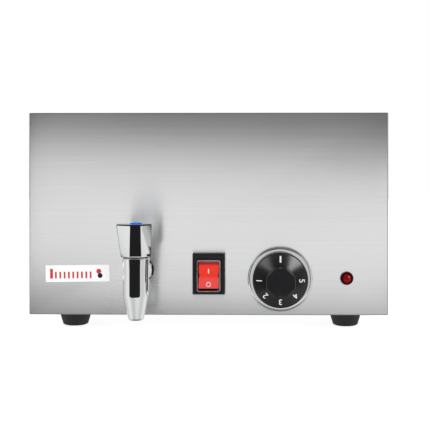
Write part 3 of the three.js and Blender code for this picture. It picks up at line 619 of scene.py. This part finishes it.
def casing():
    """Front and sides in one folded sheet, with rims turned in at the top, bottom and rear."""
    rear = BODY_Y - SHEET
    past = 2.0
    outside = cuboid((-BODY_X, -BODY_Y, BODY_LOW), (BODY_X, rear, BODY_TOP))

    def is_fold(edge):
        return (edge.verts[0].co.y + edge.verts[1].co.y) / 2 < rear - SHEET

    bevelled(outside, FOLD_OUTER, 5, pick=is_fold)
    inner_x, inner_low, inner_top = BODY_X - SHEET, BODY_LOW + SHEET, BODY_TOP - SHEET
    inside = cuboid((-inner_x, -BODY_Y + SHEET, inner_low), (inner_x, rear - SHEET, inner_top))
    bevelled(inside, FOLD_INNER)

    reach_back = 400.0
    mouth = slab(RECESS_X, reach_back, RECESS_CORNER, BODY_TOP - past, BODY_TOP + past, steps=8)
    moved(mouth, Matrix.Translation((0, reach_back - RECESS_Y, 0)))
    base_x, base_y = BODY_X - BASE_FLANGE, BODY_Y - BASE_FLANGE
    below = cuboid((-base_x, -base_y, BODY_LOW - SHEET), (base_x, rear + past, BODY_LOW + past))
    rear_x = BODY_X - REAR_FLANGE
    behind = cuboid((-rear_x, rear - past, BODY_LOW - SHEET), (rear_x, rear + past, BODY_TOP + SHEET))

    outer, inner = -BODY_Y - past, -BODY_Y + past + SHEET
    half_x, half_z = 11.1, 14.9
    switch_hole = cuboid(
        (SWITCH_X - half_x, outer, SWITCH_Z - half_z),
        (SWITCH_X + half_x, inner, SWITCH_Z + half_z),
    )
    round_holes = [
        rod((x, outer, z), (x, inner, z), radius, sides=32)
        for x, z, radius in (
            (KNOB_X, KNOB_Z, 6),
            (middle("thermostat_screw_left")[0], KNOB_Z, 2.2),
            (middle("thermostat_screw_right")[0], KNOB_Z, 2.2),
            (LAMP_X, LAMP_Z, 5.1),
            (TAP_X, SHANK_Z, 10.7),
        )
    ]
    shell = carved(outside, inside, mouth, below, behind, switch_hole, *round_holes)
    return piece("casing_sheet", shell, STEEL, "front_casing", smooth=25)


def pressed_skin(rows, reach, thickness):
    """A pressed sheet whose upper face follows the levels, from its rim in and down to its floor."""
    sharpest_corner = 0.5
    upper = soften(rows, reach)
    lower = []
    for i, row in enumerate(upper):
        before, after = upper[max(i - 1, 0)], upper[min(i + 1, len(upper) - 1)]
        along = Vector((after[0] - before[0], after[3] - before[3])).normalized()
        out, up = -along[1] * thickness, along[0] * thickness
        corner = max(row[2] + out, sharpest_corner)
        lower.append(Vector((row[0] + out, row[1] + out, corner, row[3] + up)))
    return levels(lower[::-1] + upper, steps=12)


def water_well():
    """The well in two steps: a wide mouth for the pan, and a narrower tank for the water."""
    rim, step_high, step_low, floor_top = LEDGE - SHEET, 106, 88, 41
    rows = [
        (160, 260, 36, rim),
        (153, 253, 29, rim),
        (150, 250, 29, step_high),
        (127, 227, 29, step_low),
        (127, 227, 29, floor_top),
        (90, 190, 20, floor_top),
    ]
    piece("well_tank", pressed_skin(rows, 4.0, SHEET), PRESSED, "water_well", smooth=40)


def food_pan():
    rim, floor_top = LEDGE + 1.5, 102
    rows = [
        (162.4, 264.9, 14, LEDGE + 0.9),
        (162.2, 264.7, 13.8, rim),
        (149.2, 249.2, 29, rim),
        (147.6, 247.6, 27, rim - 6),
        (138.5, 240.5, 25, floor_top + 6),
        (133, 235, 22, floor_top),
        (100, 200, 16, floor_top),
    ]
    piece("gastronorm_pan", pressed_skin(rows, 2.4, 0.9), PRESSED, "food_pan", smooth=40)


def pan_lid():
    """The lid, sunk inside the pan's rim, and its wire grip on two welded feet."""
    grip_radius = 3.5
    rim = box("pan_lid")[1][2]
    (grip_left, _, floor_top), (grip_right, _, grip_top) = box("lid_handle")
    rows = [
        (160.8, 263.3, 14, rim - 0.8),
        (160.6, 263.1, 13.8, rim),
        (147.6, 247.6, 27, rim),
        (144.4, 244.4, 24, floor_top),
        (60, 160, 10, floor_top),
    ]
    piece("lid_sheet", pressed_skin(rows, 1.6, 0.8), STEEL, "pan_lid", smooth=40)
    left, right, top = grip_left + grip_radius, grip_right - grip_radius, grip_top - grip_radius
    corners = [(left, 0, floor_top), (left, 0, top), (right, 0, top), (right, 0, floor_top)]
    grip = tube(soften(corners, 10, 10), grip_radius, 28)
    foot = [(0, 0), (7.5, 0), (7.2, 0.7), (4.4, 1.2), (3.6, 2.6), (0, 2.6)]
    feet = [moved(lathe(soften(foot, 0.5), 40), Matrix.Translation((x, 0, floor_top))) for x in (left, right)]
    piece("lid_grip", merged(grip, *feet), CHROME, "lid_handle")


def screw(name, node, place, radius, height):
    """A cross-recess pan-head screw with a plain shank, its head up +z."""
    outline = [
        (0, -5),
        (radius * 0.5, -5),
        (radius * 0.5, 0),
        (radius, 0),
        (radius, 0.3),
        (radius * 0.9, height * 0.7),
        (radius * 0.55, height),
        (0, height),
    ]
    body = lathe(soften(outline, 0.3, 3), 32)
    half_long, half_wide = radius * 0.55, radius * 0.12
    slots = []
    for turn in (0, math.pi / 2):
        slot = cuboid((-half_long, -half_wide, height * 0.45), (half_long, half_wide, height + 1))
        slots.append(moved(slot, Matrix.Rotation(turn + 0.5, 4, "Z")))
    piece(name, moved(carved(body, *slots), place), ZINC, node)


def foot_pad():
    """A rubber foot, hollow below for its screw's head."""
    high = BODY_LOW + SHEET
    outline = [
        (2.6, FOOT_RECESS),
        (6, FOOT_RECESS),
        (6, 0),
        (10.0, 0),
        (12.1, 1.0),
        (16.5, high),
        (2.6, high),
        (2.6, FOOT_RECESS),
    ]
    return lathe(soften(outline, 0.7), 72)


def feet_and_screws():
    corners = ("front_left", "front_right", "rear_left", "rear_right")
    rear_corners = ("lower_left", "lower_right", "upper_left", "upper_right")
    for corner, rear_corner in zip(corners, rear_corners):
        x, y, _ = middle(f"foot_{corner}")
        pad = moved(foot_pad(), Matrix.Translation((x, y, 0)))
        piece(f"foot_pad_{corner}", pad, RUBBER, f"foot_{corner}")
        recess = Matrix.Translation((x, y, FOOT_RECESS)) @ HEAD_DOWN
        screw(f"foot_fixing_{corner}", f"foot_screw_{corner}", recess, 4.5, 3)

        x, y, _ = middle(f"base_screw_{corner}")
        below = Matrix.Translation((x, y, BODY_LOW)) @ HEAD_DOWN
        screw(f"base_fixing_{corner}", f"base_screw_{corner}", below, 3.2, 1.6)

        x, _, z = middle(f"rear_screw_{rear_corner}")
        screw(f"rear_fixing_{rear_corner}", f"rear_screw_{rear_corner}", on_back(x, z), 3.5, 1.8)


# ---------------------------------------------------------------- controls


def switch_frame():
    """The frame and its housing, whose frame stands a little higher than the rocker."""
    rows = [
        (10.8, 14.5, 0.6, -25),
        (10.8, 14.5, 0.6, 0),
        (15.25, 19.35, 1.1, 0),
        (15.15, 19.25, 1.1, 6),
        (14.3, 18.4, 0.9, 7),
        (12.4, 16.0, 1.0, 7),
        (11.7, 15.3, 0.8, 6.2),
        (11.6, 15.2, 0.8, 4),
        (9.8, 13.6, 0.6, 4),
        (9.7, 13.5, 0.6, -6.5),
    ]
    housing = levels(rows, 0.45, 6)
    for vert in housing.verts:
        if abs(vert.co.x) > 12.3 or abs(vert.co.y) > 15.9:
            vert.co.y += FRAME_RISE
    return housing


def switch_boot():
    rows = [
        (11.4, 15, 1.5, 4.3),
        (10.9, 14.5, 1.5, 4.9),
        (10.6, 14.2, 1.8, 11.4),
        (9.4, 13, 1.6, 12.5),
        (4, 6, 1, 12.5),
    ]
    return levels(rows, 0.9, 6, cap_first=False)


PADDLE_HALF, PADDLE_MIDDLE, PADDLE_RISE = 12.4, 4.7, 1.35


def paddle_face(y):
    """How far out the rocker's face stands: a shallow V with a rounded middle."""
    return PADDLE_MIDDLE + PADDLE_RISE * math.hypot(y, 1.2) / PADDLE_HALF


def paddle_section(y):
    """The rocker's section at one distance from its pivot, with a waist in the middle and rounded ends."""
    bow, belly, belly_half = 0.5, -4.0, 8.6
    waist = 0.9 * max(0.0, 1 - abs(y) / 2.2)
    end = 0.35 if abs(y) > 12.3 else 0.0
    half, top = 9.25 - waist - end, paddle_face(y) - end
    inner = belly if abs(y) < belly_half else belly + (abs(y) - belly_half) * 2.4
    right = [(half - bow, y, top), (half, y, top - bow), (half, y, inner)]
    left = [(-x, y, z) for x, y, z in reversed(right)]
    return left + right


def switch():
    place = on_panel(SWITCH_X, SWITCH_Z)
    piece("switch_frame", moved(switch_frame(), place), BLACK, "switch_housing")
    piece("switch_boot", moved(switch_boot(), place), CLEAR, "switch_cover")

    paddle = place @ Matrix.Translation((0, 0, ROCKER_PIVOT)) @ Matrix.Rotation(ROCKER_TILT, 4, "X")
    upper = [0.8, 1.6, 3, 5, 8, 11, 12.1, PADDLE_HALF]
    stations = [-y for y in reversed(upper)] + [0] + upper
    rocker = moved(loft([paddle_section(y) for y in stations]), paddle)
    lit = piece("rocker_paddle", rocker, RED, "switch_rocker")
    lit.visible_glossy = False  # the steel round it doesn't mirror its glow

    slope = math.atan2(PADDLE_RISE, PADDLE_HALF)
    thick = 0.12
    mark_on = slab(0.55, 2.1, 0.4, 0, thick, steps=4)
    mark_off = lathe([(1.5, 0), (2.35, 0), (2.35, thick), (1.5, thick), (1.5, 0)], 48)
    for name, y, mark in (("rocker_mark_on", 3.6, mark_on), ("rocker_mark_off", -8.7, mark_off)):
        tilt = Matrix.Rotation(math.copysign(slope, y), 4, "X")
        spot = paddle @ Matrix.Translation((0, y, paddle_face(y))) @ tilt
        piece(name, moved(mark, spot), INK, body="switch_paddle")


def digit(text, size):
    """A printed figure, centred on its own place."""
    curve = bpy.data.curves.new("figure", "FONT")
    curve.body = text
    curve.size = size
    curve.extrude = 0.05
    curve.align_x = "CENTER"
    curve.align_y = "CENTER"
    made = bpy.data.objects.new("figure", curve)
    bpy.context.scene.collection.objects.link(made)
    depsgraph = bpy.context.evaluated_depsgraph_get()
    bm = bmesh.new()
    bm.from_mesh(made.evaluated_get(depsgraph).to_mesh())
    bpy.data.objects.remove(made)
    low = Vector([min(v.co[i] for v in bm.verts) for i in range(3)])
    high = Vector([max(v.co[i] for v in bm.verts) for i in range(3)])
    bm.transform(Matrix.Translation(-(low + high) / 2))
    return bm


# The knob's cone runs from its face, round the hub, out and down to its rim.
KNOB_FACE, KNOB_FACE_RADIUS = 17, 13.2
KNOB_RIM, KNOB_RIM_RADIUS = 12.7, 25.0


def dished_knob():
    """A dished skirt, hollow behind, with an eight-sided hub."""
    hollow, bore_radius, hollow_radius = 9, 3.2, 21
    outer = KNOB_RIM_RADIUS + 0.8
    outline = [
        (hollow_radius, hollow),
        (hollow_radius, 4),
        (KNOB_RIM_RADIUS + 0.2, 4),
        (outer, 4.8),
        (outer, KNOB_RIM - 0.9),
        (KNOB_RIM_RADIUS, KNOB_RIM),
        (KNOB_FACE_RADIUS, KNOB_FACE),
        (bore_radius, KNOB_FACE),
        (bore_radius, hollow),
        (hollow_radius, hollow),
    ]
    skirt = lathe(soften(outline, 0.5), 128)
    hub_across, hub_low, hub_high = 27.5, 14, 29.8
    corner = hub_across / 2 / math.cos(math.pi / 8)
    hub = lathe([(0, hub_low), (corner, hub_low), (corner - 0.5, hub_high), (0, hub_high)], 8)
    moved(hub, Matrix.Rotation(math.pi / 8, 4, "Z"))
    bevelled(hub, 1.1, 4, 25)
    return merged(skirt, hub)


def bezel_ring():
    inner = 18.5
    crown = [(30.6, 0), (30.6, 0.8), (30.1, 1.7), (28.9, 2.5), (27.4, 2.95)]
    return lathe(soften([(inner, 0), *crown, (inner, 3.1), (inner, 0)], 0.6), 144)


def dial_marks():
    """The index mark at the top, then 1 to 5 down the left, round the bottom and up the right."""
    cone = math.atan2(KNOB_FACE - KNOB_RIM, KNOB_RIM_RADIUS - KNOB_FACE_RADIUS)
    radius = 19.7
    height = KNOB_RIM + (KNOB_RIM_RADIUS - radius) * math.tan(cone) + 0.06
    lay = Matrix.Translation((0, radius, height)) @ Matrix.Rotation(-cone, 4, "X")
    index = slab(0.8, 3.1, 0.3, -0.05, 0.05, steps=3)
    figures = [(index, 0)] + [(digit(str(i + 1), 8.0), 90 + 45 * i) for i in range(5)]
    return merged(*(moved(shape, Matrix.Rotation(clock * DEG, 4, "Z") @ lay) for shape, clock in figures))


def knob():
    """The knob, the chrome ring behind it and its printed marks. Returns the knob and the ring."""
    place = on_panel(KNOB_X, KNOB_Z)
    grip = piece("knob_grip", moved(dished_knob(), place), GLOSS_BLACK, "knob", smooth=28)
    ring = piece("knob_ring", moved(bezel_ring(), place), CHROME, "knob_bezel", smooth=45)
    piece("knob_marks", moved(dial_marks(), place), INK, body="thermostat_knob")
    return grip, ring


def lamp():
    """The pilot lamp's dark rim and its faceted jewel. Returns the jewel."""
    place = on_panel(LAMP_X, LAMP_Z)
    rim = [(0, 0.2), (6.25, 0), (6.25, 1.2), (5.6, 2.4), (4.5, 2.7), (4.1, 2.2), (0, 2.2)]
    piece("lamp_rim", moved(lathe(soften(rim, 0.4), 72), place), LAMP_DARK, "lamp_lens", smooth=40)
    jewel = lathe([(0, 2.0), (3.9, 2.0), (3.9, 2.7), (3.0, 3.6), (1.6, 4.1), (0, 4.1)], 12)
    moved(jewel, place)
    return piece("lamp_jewel", jewel, LAMP_RED, body="casing", smooth=5)


def label():
    """A white sticker with a row of plain bars and two dots."""
    place = on_panel(LABEL_X, LABEL_Z) @ Matrix.Rotation(LABEL_TILT, 4, "Z")
    sheet_top, ink_top = 0.3, 0.36
    sheet = slab(30.05, 7.8, 0.4, 0, sheet_top, steps=5)
    piece("sticker", moved(sheet, place), LABEL_WHITE, "label")

    count, pitch, first, foot = 10, 4.1, -24.6, -4.6
    bars = []
    for i in range(count):
        tall, wide = (9.2, 2.7) if i == 0 else (6.3, 1.7)
        bar = slab(wide / 2, tall / 2, 0.3, sheet_top, ink_top, steps=2)
        bars.append(moved(bar, Matrix.Translation((first + pitch * i, foot + tall / 2, 0))))
    printed = moved(merged(*bars), place)
    piece("sticker_bars", printed, LABEL_RED, body="casing")

    dots = (("upper", LABEL_RED, "dark_red_lens", 20.0, 1.9), ("lower", BLACK, "black_plastic", 21.2, -2.2))
    for name, ink, slot, across, up in dots:
        dot = lathe([(0, sheet_top), (2.3, sheet_top), (2.3, ink_top), (0, ink_top)], 40)
        moved(dot, place @ Matrix.Translation((across, up, 0)))
        piece(f"sticker_dot_{name}", dot, ink, body="casing")


# ---------------------------------------------------------------- tap


def tap_barrel():
    """The upright spout, the level shank that passes through the panel, and the collar nut outside it."""
    outline = [
        (0, 30),
        (4.4, 30),
        (4.4, 16.6),
        (6.0, 16.4),
        (6.95, 17.2),
        (11.6, 38.2),
        (11.7, 40.5),
        (11.7, 60.8),
        (12.2, 72.8),
        (8.2, 72.8),
        (8.2, 48),
        (0, 48),
    ]
    spout = lathe(soften(outline, 1.8, 6), 128)
    collar = [(0, 8), (11, 8), (11, 27.5), (10.2, 28.4), (10.2, 94), (6, 94), (6, 60), (0, 60)]
    shank = lathe(soften(collar, 0.8), 96)
    front, back = 29, TAP_STAND_OUT - 1.1
    nut = lathe([(9, front), (11.6, front), (11.6, back), (9, back), (9, front)], 6)
    bevelled(nut, 0.7, 3, 25)
    moved(nut, Matrix.Rotation(math.pi / 6, 4, "Z"))
    return merged(spout, moved(merged(shank, nut), SHANK_ALONG))


def octagon(reach, face, z, sweep, twist):
    """One level of the tap handle: a square with its corners cut off, swept to the left and turned."""
    corners = [(face, -reach), (reach, -face), (reach, face), (face, reach)]
    corners += [(-x, -y) for x, y in corners]
    turn = Matrix.Rotation(twist, 3, "Z")
    return [turn @ Vector((x, y, z)) - Vector((sweep, 0, 0)) for x, y in corners]


def tap_grip():
    """The flared handle, hollow below for its spindle and above for its cap."""
    foot = Vector((13.4, 5.2, 74.2, 0, -HANDLE_TWIST / 2))
    head = Vector((15.7, 4.6, 101.5, 2.0, HANDLE_TWIST / 2))
    steps = 8
    rows = [foot - Vector((0.4, 0, 0.9, 0, 0))]
    rows += [foot.lerp(head, step / steps) for step in range(steps + 1)]
    rows.append(head - Vector((0.7, 0.2, -1.1, 0, 0)))
    grip = loft([octagon(*row) for row in rows])
    bevelled(grip, 1.2, 4, 12)
    socket = rod((0, 0, 72), (0, 0, 79), 9.5, sides=48)
    recess = rod((0, 0, 99.4), (0, 0, 104), 6.1, sides=64)
    return carved(grip, socket, recess)


def tap():
    upright = Matrix.Translation((TAP_X, TAP_Y, 0))
    piece("tap_barrel", moved(tap_barrel(), upright), CHROME, "tap_body")
    inner, outer = 10.6, 11.9
    front, back = TAP_STAND_OUT - 1, TAP_STAND_OUT
    ring = [(inner, front), (outer, front), (outer, back), (inner, back), (inner, front)]
    seal = lathe(soften(ring, 0.2), 72)
    piece("tap_gasket", moved(seal, upright @ SHANK_ALONG), RUBBER, "tap_seal_outer")

    turned = upright @ Matrix.Rotation(HANDLE_TURN, 4, "Z")
    # the handle's chrome carries painted dark reflections on its edges and top rim
    piece("tap_grip", moved(tap_grip(), turned), HANDLE_CHROME_PAINTED_EDGES, "tap_handle", smooth=30)
    cap = [(0, 98), (5.9, 98), (5.9, 102.7), (4.6, 103.9), (0, 104.4)]
    piece("tap_button", moved(lathe(soften(cap, 0.7, 5), 72), turned), BLUE, "tap_index_cap")


# ---------------------------------------------------------------- cord


def cord_path():
    """From the terminals out through the rear panel, round the standing hank and into the plug."""
    x, z = CORD_X, CORD_Z
    terminals_y, terminals_z = box("terminal_block")[1][1] + 0.4, 24
    inside = [
        (x, terminals_y, terminals_z),
        (x, BODY_Y - 28, terminals_z),
        (x, BODY_Y - 12, z),
        (x, BODY_Y, z),
    ]
    lead = [
        (x, BODY_Y + 20, z),
        (x + 1, HANK_Y - 18, z - 0.5),
        (x + 6, HANK_Y - 7, z - 4),
        (x + 17, HANK_Y - 1.5, z - 12),
        (x + 34, HANK_Y, z - 23),
        (x + 56, HANK_Y, z - 34),
    ]
    steps = 20
    hank = []
    for i in range(HANK_TURNS * steps + 1):
        turn = i / steps
        a = 2 * math.pi * (turn - 0.25)
        across, up = HANK_R * math.cos(a), HANK_R * math.sin(a)
        hank.append(Vector((HANK_X + across, HANK_Y - HANK_PITCH * turn, HANK_Z + up)))
    start = hank[0].lerp(Vector(lead[-1]), 0.35)
    start.z = HANK_Z - HANK_R + 0.6
    socket = Vector((PLUG_X - 9, PLUG_Y, PLUG_Z))
    end = Vector((PLUG_X, PLUG_Y, PLUG_Z))
    tail = [hank[-1].lerp(socket, share) for share in (0.3, 0.65)]
    return soften(inside, 6, 5) + smooth_path([*lead, start, *hank, *tail, socket, end], 4)


def cord_grommet():
    """The gland's flange and its ribbed, tapering sleeve."""
    outline = [(3.8, -6), (7.6, -6), (7.6, 0), (11, 0), (11, 2.6), (9.5, 3.4), (7.4, 3.8)]
    for i in range(6):
        height, radius = 4.6 + i * 2.4, 7.2 - i * 0.32
        groove = radius - 1.1
        outline += [(radius, height), (radius, height + 1.2), (groove, height + 1.5), (groove, height + 2.2)]
    outline += [(4.6, 19), (3.8, 19), (3.8, -6)]
    return lathe(outline, 64)


def plug_moulding():
    rows = [
        (4.6, 4.6, 4.4, -PLUG_SLEEVE),
        (5.6, 5.4, 4.4, 4),
        (7.4, 6.8, 5.0, 9),
        (12.6, 11.6, 6.0, 18),
        (14, 13, 6.0, 24),
        (14, 13, 6.0, 37),
        (13.2, 12.2, 5.4, 38),
    ]
    return levels(rows, 1.6, 10)


def cord():
    piece("cord_hank", tube(cord_path(), CORD_R), RUBBER, "power_cord", smooth=60)
    piece("cord_grommet", moved(cord_grommet(), on_back(CORD_X, CORD_Z)), BLACK, "cord_gland", smooth=30)
    place = Matrix.Translation((PLUG_X, PLUG_Y, PLUG_Z)) @ Matrix.Rotation(math.pi / 2, 4, "Y")
    piece("plug_moulding", moved(plug_moulding(), place), BLACK, "plug_body", smooth=40)


# ---------------------------------------------------------------- room, light and camera


def dark_patch(g, azimuth, elevation):
    """0 in a rounded rectangle of directions straight in front of the panel, and 1 round it."""
    across = g.math("DIVIDE", g.math("SUBTRACT", azimuth, -4 * DEG), 49 * DEG)
    along = g.math("DIVIDE", g.math("SUBTRACT", elevation, 5 * DEG), 32 * DEG)
    squareness = 5
    across = g.math("POWER", g.math("ABSOLUTE", across), squareness)
    along = g.math("POWER", g.math("ABSOLUTE", along), squareness)
    return g.ramp(g.math("ADD", across, along), 0.7, 1.3)


def tent_tone(g, azimuth, elevation):
    """How bright the light tent is: dimmer on the ground and overhead, with soft folds round the walls."""
    ground = g.ramp(elevation, -56 * DEG, -28 * DEG, 0.2, 0.8)
    upward = g.ramp(elevation, -4 * DEG, 26 * DEG, 1.0, 0.62)
    shoulder = g.ramp(elevation, 28 * DEG, 50 * DEG, 1.0, 0.3)
    overhead = g.math("ADD", shoulder, g.ramp(elevation, 64 * DEG, 82 * DEG, 0.0, 0.45))
    folds = g.math("SINE", g.math("MULTIPLY", azimuth, 4.0))
    walls = g.math("ADD", g.math("MULTIPLY", folds, 0.13), 0.87)
    return g.math("MULTIPLY", g.math("MULTIPLY", ground, upward), g.math("MULTIPLY", overhead, walls))


def studio():
    """White to the camera; in reflections, a light tent with a dark stretch in front of the panel."""
    world = bpy.data.worlds.new("studio")
    bpy.context.scene.world = world
    world.use_nodes = True
    g = Graph(world.node_tree)
    x, y, z = g.axes(g.coordinates("Generated"))
    azimuth = g.math("ARCTAN2", x, g.math("MULTIPLY", y, -1.0))
    elevation = g.math("ARCSINE", z)
    lit = dark_patch(g, azimuth, elevation)
    tent = g.math("ADD", g.math("MULTIPLY", lit, tent_tone(g, azimuth, elevation)), 0.014)
    rays = g.add("ShaderNodeLightPath").outputs
    mirrored = g.math("MULTIPLY", rays["Is Glossy Ray"], tent)
    soft = g.ramp(elevation, -80 * DEG, 80 * DEG, 0.7, 1.15)
    others = g.math("MULTIPLY", g.math("SUBTRACT", 1.0, rays["Is Glossy Ray"]), soft)
    light = g.math("ADD", mirrored, others)
    strength = g.add("ShaderNodeMix", {"data_type": "FLOAT"}, _0=rays["Is Camera Ray"], _2=light, _3=1.0)
    backdrop = g.add("ShaderNodeBackground", Color=rgb(1, 1, 1), Strength=strength)
    g.add("ShaderNodeOutputWorld", Surface=backdrop)


def card(name, centre, size, aim, radiance, targets, roll=0.0):
    """A soft rectangular light that the camera can't see and that lights only its targets."""
    data = bpy.data.lights.new(name, "AREA")
    data.shape = "RECTANGLE"
    data.size, data.size_y = size[0] * MM, size[1] * MM
    data.energy = radiance * math.pi * data.size * data.size_y
    made = bpy.data.objects.new(name, data)
    bpy.context.scene.collection.objects.link(made)
    made.location = Vector(centre) * MM
    facing = Vector(aim).to_track_quat("-Z", "Y").to_matrix()
    made.rotation_euler = (facing @ Matrix.Rotation(roll, 3, "Z")).to_euler()
    made.visible_camera = False
    group = bpy.data.collections.new(name + "_targets")
    for target in targets:
        group.objects.link(target)
    made.light_linking.receiver_collection = group


def cards(shell, knob_grip, knob_ring, jewel):
    """The soft lights that the panel, the knob, its ring and the lamp mirror."""
    front, toward_panel = -BODY_Y - 153, (0, 1, 0)
    card("front_card", (0, front, 89), (500, 210), toward_panel, 1.0, [shell], roll=-3.2 * DEG)
    card("ring_card", (KNOB_X, front, KNOB_Z), (260, 200), toward_panel, 0.55, [knob_ring])
    for name, side, radiance in (("left", -1, 3.6), ("right", 1, 9.0)):
        way = Vector((0.5 * side, -0.72, 0.5))
        centre = Vector((KNOB_X, -BODY_Y, KNOB_Z)) + way * 700
        card(f"dial_card_{name}", centre, (260, 260), -way, radiance, [knob_grip])
    away = Vector((313, -542, 313))
    centre = Vector((LAMP_X, -BODY_Y, LAMP_Z)) + away
    card("jewel_card", centre, (170, 170), -away, 14.0, [jewel])


def floor():
    """A wide pale floor that polished parts don't mirror."""
    mesh = bpy.data.meshes.new("floor")
    half = 4.0
    corners = [(-half, -half, 0), (half, -half, 0), (half, half, 0), (-half, half, 0)]
    mesh.from_pydata(corners, [], [(0, 1, 2, 3)])
    made = bpy.data.objects.new("floor", mesh)
    bpy.context.scene.collection.objects.link(made)
    look, g = new_material("pale_floor")
    mottle = g.ramp(g.noise(g.coordinates("Object"), scale=3.0), 0.3, 0.7, 0.26, 0.3)
    matte = g.add("ShaderNodeBsdfDiffuse", Color=g.mix(mottle, rgb(0.5, 0.5, 0.5), rgb(1, 1, 1)))
    glow = g.add("ShaderNodeEmission", Color=rgb(1, 1, 1), Strength=0.86)
    g.add("ShaderNodeOutputMaterial", Surface=g.add("ShaderNodeAddShader", _0=matte, _1=glow))
    mesh.materials.append(look)
    made.visible_glossy = False


def camera():
    """Square to the front, a little right of the middle, with the lens shifted back onto the object."""
    data = bpy.data.cameras.new("camera")
    data.sensor_width = 36
    data.lens = 71.38
    data.shift_x, data.shift_y = -0.0661, -0.0943
    data.clip_start, data.clip_end = 0.02, 30
    made = bpy.data.objects.new("camera", data)
    bpy.context.scene.collection.objects.link(made)
    made.location = (0.045, -1.070, 0.147)
    made.rotation_euler = (math.pi / 2, 0, 0.85 * DEG)
    bpy.context.scene.camera = made
    bpy.context.scene.view_settings.view_transform = "Standard"


dress_cad_nodes()
shell = casing()
water_well()
food_pan()
pan_lid()
feet_and_screws()
switch()
knob_grip, knob_ring = knob()
jewel = lamp()
label()
tap()
cord()
studio()
cards(shell, knob_grip, knob_ring, jewel)
floor()
camera()
